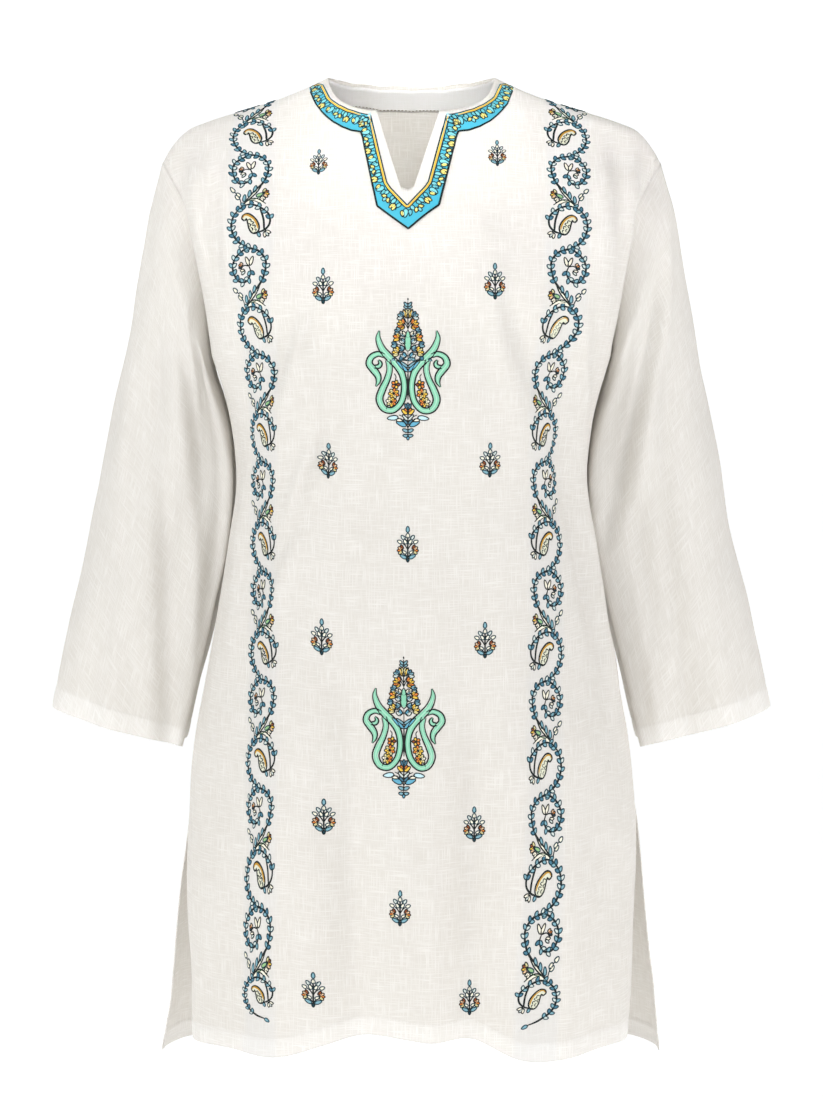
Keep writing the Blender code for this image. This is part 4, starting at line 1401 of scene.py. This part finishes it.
butaStems = (
    ((0, 36), (-2, 40), (-4.6, 42)), ((0, 39), (-2, 43), (-3.4, 46)), ((0, 28), (-4, 31), (-8.6, 33.4)),
    ((-1.6, 23), (-5, 26.6), (-8, 28.4)), ((-1.6, 19), (-5, 21.6), (-9.4, 22.4)),
    ((0, 12), (-4, 15), (-8.4, 15.4)), ((-12, -3), (-10.4, -5.6), (-11.2, -9)),
    ((-17, -30.6), (-18.4, -33), (-19.4, -36)), ((0, -52), (-4, -46), (-9, -42.6)),
    ((0, -46), (-4, -42), (-8, -40)),
)
butaLeaves = (
    # x, y, angle, length, width, colour
    (0, 55, 128, 5.4, 2.4, "sky"), (0, 54.2, 160, 4.0, 2.2, "sky"),
    (-0.6, 45.4, 114, 8.4, 3.2, "yellow"), (-0.2, 46, 101, 7.8, 2.4, "straw"),
    (0, -1.4, 137, 14.4, 3.2, "blue"), (0, 2.6, 143, 8.4, 2.3, "sky"),
    (-0.6, -39.4, 138, 6.6, 3.4, "yellow"), (-0.8, -37.4, 122, 4.2, 2.2, "orange"),
    (-0.2, -34.6, 116, 5.4, 2.6, "steel"), (0, -45.6, 130, 7.6, 2.6, "mist"),
    (-0.2, -48.6, 130, 5.8, 2.2, "steel"), (-8.6, -42.2, 187, 9.8, 4.2, "paleBlue"),
    (-4.8, -45.2, 175, 5.6, 3.0, "cream"), (-1.2, -50, 158, 9.8, 4.4, "blue"),
    (0, -55.4, 157, 5.2, 3.0, "sky"), (0, -59.6, 170, 4.6, 2.8, "sky"),
)
butaSpine = (
    # width, points
    (1.5, ((0, 60.6), (0, 62.9))), (1.1, ((0, 60), (0, 55))), (1.2, ((0, 50), (0, 42), (0, 35))),
    (0.9, ((0, 16), (0, 8), (0, 0))), (1.5, ((0, 0), (0, -12), (0, -26))),
    (1.2, ((0, -30), (0, -44), (0, -61))),
)


def butaHalf():  # left half of the paired paisleys and the flower spike between them
    work = motif()
    for ribbon in butaRibbons:
        work.band("mint", "mintPale", ribbon)
    for flower in butaFlowers:
        work.flower(*flower)
    for stem in butaStems:
        work.line("ink", 1.1, stem)
    for leaf in butaLeaves:
        work.leaf(*leaf)
    return work


def buta():
    work = motif()
    half = butaHalf()
    work.joined(half, False)
    work.joined(half, True)
    for width, points in butaSpine:
        work.line("ink", width, points)
    work.leaf(0, 16.4, 90, 18.4, 5.8, "mint")
    work.leaf(0, 45, 90, 4.8, 2.2, "cream")
    work.leaf(0, -33.4, 90, 4.6, 2.6, "steel")
    work.leaf(0, -59.4, -90, 3.8, 2.2, "blue")
    return work


def bandCluster(kind):  # flowers of the neck band: x along it, y from its gold line outward
    work = motif()
    if kind == 0:
        work.flower(0, -2.8, -88, 56, 6.8, 3.6, ("lemon", "lemon"))
        work.leaf(-3.4, 0.4, -84, 6.4, 3.8, "aqua", "bandEdge")
        work.leaf(3.2, 0.2, -98, 5.4, 3.4, "bandTeal", "bandEdge")
    elif kind == 1:
        work.leaf(0.4, -0.6, -95, 8.6, 4.8, "aqua", "bandEdge")
        work.leaf(-3.2, -2.8, -74, 6.2, 3.6, "lemon")
        work.leaf(3.8, -1.0, -80, 5.6, 3.4, "bandTeal", "bandEdge")
    else:
        work.flower(0, -4.4, -90, 170, 5.2, 3.4, ("lemon", "aqua", "lemon"))
        work.leaf(-3.6, 0.2, -95, 5.2, 3.6, "aqua", "bandEdge")
        work.leaf(2.8, 0.4, -72, 5.0, 3.4, "bandTeal", "bandEdge")
    work.line("ink", 1.1, ((-4.6, -4.2), (-4.0, -6.6), (-2.2, -8.0), (-0.8, -7.0)))
    work.line("bandEdge", 1.2, ((4.8, -3.0), (3.4, -5.2), (4.2, -7.8)))
    return work


def shortStitch(colour, length, width):
    work = motif()
    work.leaf(-length / 2, 0, 0, length, width, colour, None)
    return work


print("needlework drawn")


# Geometry Nodes: copies of a motif set out in cloth coordinates, bent along a guide, laid on the cloth
def sewingTree():
    tree = bpy.data.node_groups.new("sewOn", "GeometryNodeTree")
    face = tree.interface
    face.new_socket("Geometry", in_out="INPUT", socket_type="NodeSocketGeometry")
    for name in ("motif", "run", "cloth"):
        face.new_socket(name, in_out="INPUT", socket_type="NodeSocketObject")
    face.new_socket("thread", in_out="INPUT", socket_type="NodeSocketMaterial")
    face.new_socket("Geometry", in_out="OUTPUT", socket_type="NodeSocketGeometry")
    start = tree.nodes.new("NodeGroupInput")
    end = tree.nodes.new("NodeGroupOutput")

    def node(kind, settings=None, **links):
        return addNode(tree, kind, settings, **links)

    def onSurface(guide, spot, what):  # a value of the guide where its own map has the spot
        shape = node("GeometryNodeObjectInfo", None, Object=guide).outputs["Geometry"]
        where = node("GeometryNodeInputNamedAttribute", {"data_type": "FLOAT_VECTOR", "Name": "cloth"})
        sample = node(
            "GeometryNodeSampleUVSurface", {"data_type": "FLOAT_VECTOR"},
            Mesh=shape, Value=what, UV_Map=where.outputs["Attribute"], Sample_UV=spot,
        )
        return sample.outputs["Value"], sample.outputs["Is Valid"]

    copied = node("GeometryNodeObjectInfo", None, Object=start.outputs["motif"]).outputs["Geometry"]
    turn = node("GeometryNodeInputNamedAttribute", {"data_type": "FLOAT_VECTOR", "Name": "turn"})
    size = node("GeometryNodeInputNamedAttribute", {"data_type": "FLOAT_VECTOR", "Name": "size"})
    rotation = node("FunctionNodeEulerToRotation", None, Euler=turn.outputs["Attribute"])
    placed = node(
        "GeometryNodeInstanceOnPoints", None, Points=start.outputs[0], Instance=copied,
        Rotation=rotation.outputs[0], Scale=size.outputs["Attribute"],
    )
    real = node("GeometryNodeRealizeInstances", None, Geometry=placed.outputs[0])
    position = node("GeometryNodeInputPosition").outputs[0]
    normal = node("GeometryNodeInputNormal").outputs["Normal"]
    lift = node("ShaderNodeSeparateXYZ", None, Vector=position).outputs["Z"]
    flat = node("ShaderNodeVectorMath", {"operation": "MULTIPLY", 1: (1, 1, 0)}, i0=position)
    # bent along the run, where there is one
    bent, onRun = onSurface(start.outputs["run"], flat.outputs[0], position)
    height = node("ShaderNodeCombineXYZ", None, Z=lift)
    raised = node("ShaderNodeVectorMath", {"operation": "ADD"}, i0=bent, i1=height.outputs[0])
    run = node(
        "GeometryNodeSetPosition", None,
        Geometry=real.outputs[0], Selection=onRun, Position=raised.outputs[0],
    )
    spot, onCloth = onSurface(start.outputs["cloth"], flat.outputs[0], position)
    outward, _ = onSurface(start.outputs["cloth"], flat.outputs[0], normal)
    out = node("ShaderNodeVectorMath", {"operation": "NORMALIZE"}, i0=outward)
    up = node("ShaderNodeVectorMath", {"operation": "SCALE"}, i0=out.outputs[0], Scale=lift)
    laid = node("ShaderNodeVectorMath", {"operation": "ADD"}, i0=spot, i1=up.outputs[0])
    off = node("FunctionNodeBooleanMath", {"operation": "NOT"}, i0=onCloth)
    # kept only where the cloth is
    trimmed = node(
        "GeometryNodeDeleteGeometry", {"domain": "POINT", "mode": "ALL"},
        Geometry=run.outputs[0], Selection=off.outputs[0],
    )
    sewn = node("GeometryNodeSetPosition", None, Geometry=trimmed.outputs[0], Position=laid.outputs[0])
    done = node(
        "GeometryNodeSetMaterial", None, Geometry=sewn.outputs[0], Material=start.outputs["thread"]
    )
    tree.links.new(done.outputs[0], end.inputs[0])
    return tree


def applied(obj, tree, name, inputs):  # the finished plain mesh of a Geometry Nodes modifier
    modifier = obj.modifiers.new("work", "NODES")
    modifier.node_group = tree
    for item in tree.interface.items_tree:
        if item.in_out == "INPUT" and item.name in inputs:
            modifier[item.identifier] = inputs[item.name]
    bpy.context.view_layer.update()
    evaluated = obj.evaluated_get(bpy.context.evaluated_depsgraph_get())
    mesh = bpy.data.meshes.new_from_object(evaluated)
    mesh.name = name
    obj.modifiers.clear()
    bpy.data.objects.remove(obj)
    return addObject(name, mesh)


def pointsWith(name, spots):  # points at u, v that carry the size and turn of each copy
    mesh = bpy.data.meshes.new(name)
    mesh.from_pydata([(u, v, 0) for u, v, *_ in spots], [], [])
    addLayer(mesh, "size", "FLOAT_VECTOR", [(size, size, 1) for _, _, size, _ in spots])
    addLayer(mesh, "turn", "FLOAT_VECTOR", [(0, 0, turn) for *_, turn in spots])
    return addObject(name, mesh)


sewingSteps = sewingTree()
thread = makeThread()


def sew(name, work, spots, guide, run=None):  # copies of a motif, sewn on as one piece
    shape = work.build(name + "Shape")
    inputs = {"motif": shape, "cloth": guide, "thread": thread}
    if run:
        inputs["run"] = run
    made = applied(pointsWith(name + "Spots", spots), sewingSteps, name, inputs)
    bpy.data.objects.remove(shape)
    print(name, len(made.data.polygons), "faces")
    return made


# Where the vines stand: v of each joint, u of the middle, width, top to bottom
leftVine = (
    (0.3260, -0.1410, 0.0390), (0.2328, -0.1417, 0.0390), (0.1398, -0.1416, 0.0391),
    (0.0465, -0.1434, 0.0367), (-0.0511, -0.1417, 0.0327), (-0.1505, -0.1400, 0.0302),
    (-0.2485, -0.1376, 0.0317), (-0.3445, -0.1338, 0.0293), (-0.4446, -0.1341, 0.0258),
    (-0.5604, -0.1366, 0.0315), (-0.6380, -0.1370, 0.0315),
)
rightVine = (
    (0.3260, 0.1393, 0.0395), (0.2332, 0.1393, 0.0395), (0.1394, 0.1388, 0.0387),
    (0.0459, 0.1382, 0.0400), (-0.0510, 0.1248, 0.0327), (-0.1494, 0.1246, 0.0337),
    (-0.2483, 0.1229, 0.0348), (-0.3473, 0.1191, 0.0333), (-0.4516, 0.1178, 0.0342),
    (-0.5610, 0.1117, 0.0387), (-0.6440, 0.1100, 0.0387),
)
sprigSpots = (  # u, v, size
    (-0.0821, 0.1847, 0.84), (0.0757, 0.1920, 0.84), (-0.0773, 0.0661, 1), (0.0724, 0.0702, 1),
    (-0.0762, -0.0919, 1), (0.0697, -0.0897, 1), (-0.0033, -0.1646, 1), (-0.0804, -0.2488, 1),
    (0.0658, -0.2508, 1), (-0.0787, -0.4084, 1), (0.0569, -0.4158, 1), (-0.0103, -0.4895, 1),
    (-0.0875, -0.5660, 1), (0.0528, -0.5728, 1),
)
butaSpots = ((-0.0031, -0.0078, 1), (-0.0070, -0.3274, 1))
vineGuide = {
    "reach": 0.030,  # to either side of the vine's middle
    "cuts": 8,  # between two joints
    "smoothings": 3,
    "pressedEdge": (0.94, 1.06),  # shares of half its width
}


def markStrips(obj, piece):  # the cloth under each vine, where the stitching presses it flat
    mark = np.zeros_like(piece.across)
    for joints in (leftVine, rightVine):
        v, u, wide = (column(joints, k)[::-1] for k in range(3))
        half = np.interp(piece.down, v, wide) / 2
        aside = np.abs(piece.across - np.interp(piece.down, v, u))
        mark = np.maximum(mark, 1 - fade(*vineGuide["pressedEdge"], aside / half))
    addLayer(obj.data, "strip", "FLOAT", [mark, mark])


def runGuide(name, joints, side):  # flat guide that bends and stretches the repeats along their line
    last = len(joints) - 1
    stops = np.linspace(0, last, vineGuide["cuts"] * last + 1)
    v, u, wide = (np.interp(stops, np.arange(last + 1), column(joints, k)) for k in range(3))
    for _ in range(vineGuide["smoothings"]):  # the bends in the line made soft
        u[1:-1] = (u[:-2] + 2 * u[1:-1] + u[2:]) / 4
        wide[1:-1] = (wide[:-2] + 2 * wide[1:-1] + wide[2:]) / 4
    aside = vineGuide["reach"] * np.array([-1, 0, 1])
    across = np.broadcast_to(mm * vine["centre"] * side + aside, (len(stops), 3))
    down = np.broadcast_to(-stops[:, None] * mm * vine["pitch"], across.shape)
    points, upward = np.zeros((2, len(stops), 3, 3))
    points[..., 0] = u[:, None] + aside * wide[:, None] / (mm * vine["width"])
    points[..., 1] = v[:, None]
    upward[..., 2] = 1
    return addGuide(name, laidPart(points, upward, across, down))


def sewMotifs():
    made = []
    markStrips(cloth["front"], pieces["front"])
    guide = addGuide("frontGuide", pieces["front"])
    unit, ending = vineUnit(), vineUnit(True)
    for side, joints, name in ((1, leftVine, "leftVine"), (-1, rightVine, "rightVine")):
        run = runGuide(name + "Run", joints, side)
        last = len(joints) - 2
        for work, end, repeats in ((unit, "", range(last)), (ending, "End", [last])):
            turned = motif()
            turned.joined(work, side < 0)
            spots = [(0, -mm * vine["pitch"] * repeat, 1, 0) for repeat in repeats]
            made.append(sew(name + end, turned, spots, guide, run))
        bpy.data.objects.remove(run)
    for name, work, spots in (("sprigs", sprig(), sprigSpots), ("butas", buta(), butaSpots)):
        made.append(sew(name, work, [(*spot, 0) for spot in spots], guide))
    bpy.data.objects.remove(guide)
    return made


needlework = sewMotifs()
print("needlework sewn on")


# lines of the neck band, in millimetres
neckWork = {
    "step": 1.2,
    "margin": 3.0,
    "gold": (2.0, 2.0),  # from the inner edge, width
    "dark": ((0.5, 1.2), (3.4, 1.2)),
    "outline": (0.4, 2.0),  # from the outer edge
    "corner": (35.0, 42.0),  # u between which the gold line breaks
    "cornerLeaf": (2.4, 1.5, 35, 5.2, 4.2),  # back, down, tilt, length, width
    "flowers": 4.0,
    "pitch": 9.4,
}
stitching = {
    "length": 2.3,
    "wide": 0.55,
    "step": 3.1,
    "armhole": 4.2,
    "armholeEnds": 3,  # rows left free at each end
    "slitTop": -1.02,  # level
    "facingUp": 1.8,
    "facingLength": 2.6,
    "facingWide": 0.75,
    "facingStep": 3.4,
    "facingEven": 1.0,
}


def edgeOf(part, row):  # an edge of a trim in millimetres of cloth
    return np.stack([part.across[row], part.down[row]], axis=1) / mm


def evenly(path, step):
    run = np.concatenate([[0], np.cumsum(np.linalg.norm(np.diff(path, axis=0), axis=1))])
    at = np.linspace(0, run[-1], max(2, round(run[-1] / step)) + 1)
    return np.stack([np.interp(at, run, path[:, k]) for k in (0, 1)], axis=1)


def moved(path, distance):  # a path set over to its right
    return path - distance * sideways(path)


def spotsAlong(path, step):  # u, v, size and turn of copies along a path
    even = evenly(path, step)
    way = np.gradient(even, axis=0)
    turns = np.arctan2(way[:, 1], way[:, 0])
    return [(mm * x, mm * y, 1, turn) for (x, y), turn in zip(even, turns)]


def widened(part, reach):  # carried on past both long edges of a trim
    def carried(values, edge, after):
        steps = np.hypot(part.across[edge] - part.across[after], part.down[edge] - part.down[after])
        share = (reach / steps).reshape(-1, *[1] * (values.ndim - 2))
        return (values[edge] + (values[edge] - values[after]) * share)[None]

    parts = part.grid, part.normal, part.across, part.down
    return laidPart(*(np.concatenate([carried(v, 0, 1), v, carried(v, -1, -2)]) for v in parts))


def neckLines(inner, outer):
    work = motif()
    for away, width in neckWork["dark"]:
        work.line("ink", width, moved(inner, away))
    away, width = neckWork["gold"]
    gold = moved(inner, away)
    near, far = neckWork["corner"]
    middle = np.abs(gold[:, 0]) < near
    for part in (gold[gold[:, 0] < -far], gold[middle], gold[gold[:, 0] > far]):
        work.line("bandGold", width, part)
    away, width = neckWork["outline"]
    work.line("ink", width, moved(outer, -away))
    for side in (-1, 1):  # a leaf covers each break in the gold line
        x, y = gold[np.argmin(np.abs(gold[:, 0] - side * (near + far) / 2))]
        across, up, tilt, length, width = neckWork["cornerLeaf"]
        work.leaf(x - side * across, y - up, 90 + side * tilt, length, width, "paleBlue", None)
    return work


def decorateNeck():
    guide = addGuide("bandGuide", widened(band, mm * neckWork["margin"]))
    inner, outer = (evenly(edgeOf(band, row), neckWork["step"]) for row in (-1, 0))
    made = [sew("neckBandLines", neckLines(inner, outer), [(0, 0, 1, 0)], guide)]
    spots = spotsAlong(moved(inner, neckWork["flowers"]), neckWork["pitch"])[1:-1]
    for kind, letter in enumerate("ABC"):
        made.append(sew("neckBandFlowers" + letter, bandCluster(kind), spots[kind::3], guide))
    bpy.data.objects.remove(guide)
    return made


def hemLine(piece, distance):  # along the hem, at a distance up from it
    across, down = piece.across[:, ::2], piece.down[:, ::2]
    hem = down[0] + distance
    u = [np.interp(h, down[:, c], across[:, c]) for c, h in enumerate(hem)]
    return np.stack([u, hem], axis=1) / mm


def cuffLine(piece):
    hem = piece.down[-1] + sleeve["hem"]
    u = [np.interp(-h, -piece.down[:, c], piece.across[:, c]) for c, h in enumerate(hem)]
    return np.stack([u, hem], axis=1) / mm


def sideLine(piece, rows, side, distance):  # a distance in from the left or right edge
    at = 0 if side < 0 else -1
    edge = piece.across[rows, at] - side * distance
    return np.stack([edge, piece.down[rows, at]], axis=1)[::2] / mm


def panelLines(piece):  # along the hem, both slits and both armholes
    lines = [hemLine(piece, weight["bodyHem"])]
    slit = np.nonzero(piece.levels.mean(axis=1) < stitching["slitTop"])[0]
    free = stitching["armholeEnds"]
    armhole = slice(piece.underarmRow + free, piece.grid.shape[0] - free)
    for side in (-1, 1):
        lines.append(sideLine(piece, slit, side, weight["slitHem"]))
        lines.append(sideLine(piece, armhole, side, mm * stitching["armhole"]))
    return lines


def sewHems():
    stitch, step = shortStitch("white", stitching["length"], stitching["wide"]), stitching["step"]
    for key in ("front", "back"):
        guide = addGuide(key + "Guide", pieces[key])
        spots = [spot for line in panelLines(pieces[key]) for spot in spotsAlong(line, step)]
        sew(key + "Stitching", stitch, spots, guide)
        bpy.data.objects.remove(guide)
    for key in ("left", "right"):
        tube = pieces[key]
        grid, normal = (np.concatenate([v, v[:, :1]], axis=1) for v in (tube.grid, tube.normal))
        guide = addGuide(key + "Guide", laidPart(grid, normal, tube.across, tube.down))
        spots = spotsAlong(cuffLine(tube), step)[:-1]
        sew(key + "CuffStitching", stitch, spots, guide)
        bpy.data.objects.remove(guide)


def sewFacing():  # brown stitches hold down the lower edge inside the neck
    grid = facing.grid - body["trim"] * facing.normal
    guide = addGuide("facingGuide", laidPart(grid, -facing.normal, facing.across, facing.down))
    stitch = shortStitch("brown", stitching["facingLength"], stitching["facingWide"])
    line = evenly(edgeOf(facing, 0), stitching["facingEven"]) + (0, stitching["facingUp"])
    sew("facingStitching", stitch, spotsAlong(line, stitching["facingStep"])[1:-1], guide)
    bpy.data.objects.remove(guide)


neckwork = decorateNeck()
sewHems()
sewFacing()
print("neck band and stitching done")


studio = {
    "eye": (0.0, -2.8, -0.14),
    "aim": (0.0, 0.0, -0.4273),
    "lens": 100.4,
    "floor": -1.12,
    "near": -6.0,
    "backdrop": 6.0,
    "top": 5.0,
    "half": 9.0,
    "bend": 0.9,
    "bendSteps": 16,
    "paper": "F8F8F7",
    "paperGlow": 0.50,
    "room": "F9FBFE",
    "roomLight": 0.20,
}
lights = {
    # place, aim, width and height, watts, colour, spread in degrees
    "keyLight": ((-2.5, -3.0, 1.15), (0, 0, -0.42), (1.7, 1.7), 69, "FDFEFF", 180),
    "rakingLight": ((-3.3, -1.5, 1.5), (0, 0, -0.42), (1.1, 1.1), 32, "FDFEFF", 180),
    "fillLight": ((2.8, -2.8, 0.8), (0, 0, -0.42), (2.3, 2.3), 60, "FDFDFF", 180),
    "frontLight": ((-0.2, -3.4, -0.4), (0, 0, -0.55), (2.2, 1.4), 6, "FDFDFF", 180),
    "rightLight": ((2.5, -0.5, -0.3), (0.3, 0, -0.4), (0.8, 1.4), 12, "FDFDFF", 180),
    "collarLight": ((0.1, -2.2, 0.42), (0, 0.04, 0.03), (0.4, 0.25), 0.43, "FFFFFF", 14),
    "rearLight": ((-1.0, 1.8, 0.8), (0, 0.1, -0.15), (1.0, 0.8), 1.8, "FAFBFF", 60),
}


def look(obj, aim):
    obj.rotation_euler = (Vector(aim) - obj.location).to_track_quat("-Z", "Y").to_euler()


def addCamera():
    data = bpy.data.cameras.new("studioCamera")
    data.lens, data.sensor_width, data.sensor_fit = studio["lens"], 36.0, "AUTO"
    data.clip_end = 50
    obj = addObject("studioCamera", data)
    obj.location = studio["eye"]
    look(obj, studio["aim"])
    bpy.context.scene.camera = obj


def addSoftbox(name, place, aim, size, power, colour, spread):
    data = bpy.data.lights.new(name, "AREA")
    data.shape, data.size, data.size_y = "RECTANGLE", size[0], size[1]
    data.energy, data.color = power, tone(colour)[:3]
    data.spread = math.radians(spread)
    obj = addObject(name, data)
    obj.location = place
    look(obj, aim)


def addSweep():  # pale matt paper, a floor that curves up into the backdrop
    floor, back, bend = studio["floor"], studio["backdrop"], studio["bend"]
    profile = [(studio["near"], floor)]
    for i in range(studio["bendSteps"] + 1):
        turn = math.radians(90 * i / studio["bendSteps"])
        profile.append((back - bend + bend * math.sin(turn), floor + bend - bend * math.cos(turn)))
    profile.append((back, studio["top"]))
    points = [(x, y, z) for x in (-studio["half"], studio["half"]) for y, z in profile]
    count = len(profile)
    faces = [(i, i + count, i + count + 1, i + 1) for i in range(count - 1)]
    mesh = bpy.data.meshes.new("studioSweep")
    mesh.from_pydata(points, [], faces)
    mesh.shade_smooth()
    material, _, shader = newMaterial("palePaper", 0.9)
    shader.inputs["Base Color"].default_value = tone(studio["paper"])
    shader.inputs["Emission Color"].default_value = tone("FFFFFF")
    shader.inputs["Emission Strength"].default_value = studio["paperGlow"]
    mesh.materials.append(material)
    obj = addObject("studioSweep", mesh)
    obj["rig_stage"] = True


def addRoom():
    world = bpy.data.worlds.new("whiteRoom")
    world.use_nodes = True
    background = world.node_tree.nodes["Background"]
    background.inputs["Color"].default_value = tone(studio["room"])
    background.inputs["Strength"].default_value = studio["roomLight"]
    bpy.context.scene.world = world
    bpy.context.scene.view_settings.view_transform = "Standard"


addCamera()
addSweep()
for name, settings in lights.items():
    addSoftbox(name, *settings)
addRoom()
print("studio set")


# the solids that the cloth and trims stand for are hidden, and the new pieces hung on the root
for key, (name, node) in clothNames.items():
    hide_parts(node)
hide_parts("neck_border")
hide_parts("back_neck_facing")
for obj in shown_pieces():
    if "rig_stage" not in obj and obj.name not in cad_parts:
        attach(obj, "root")
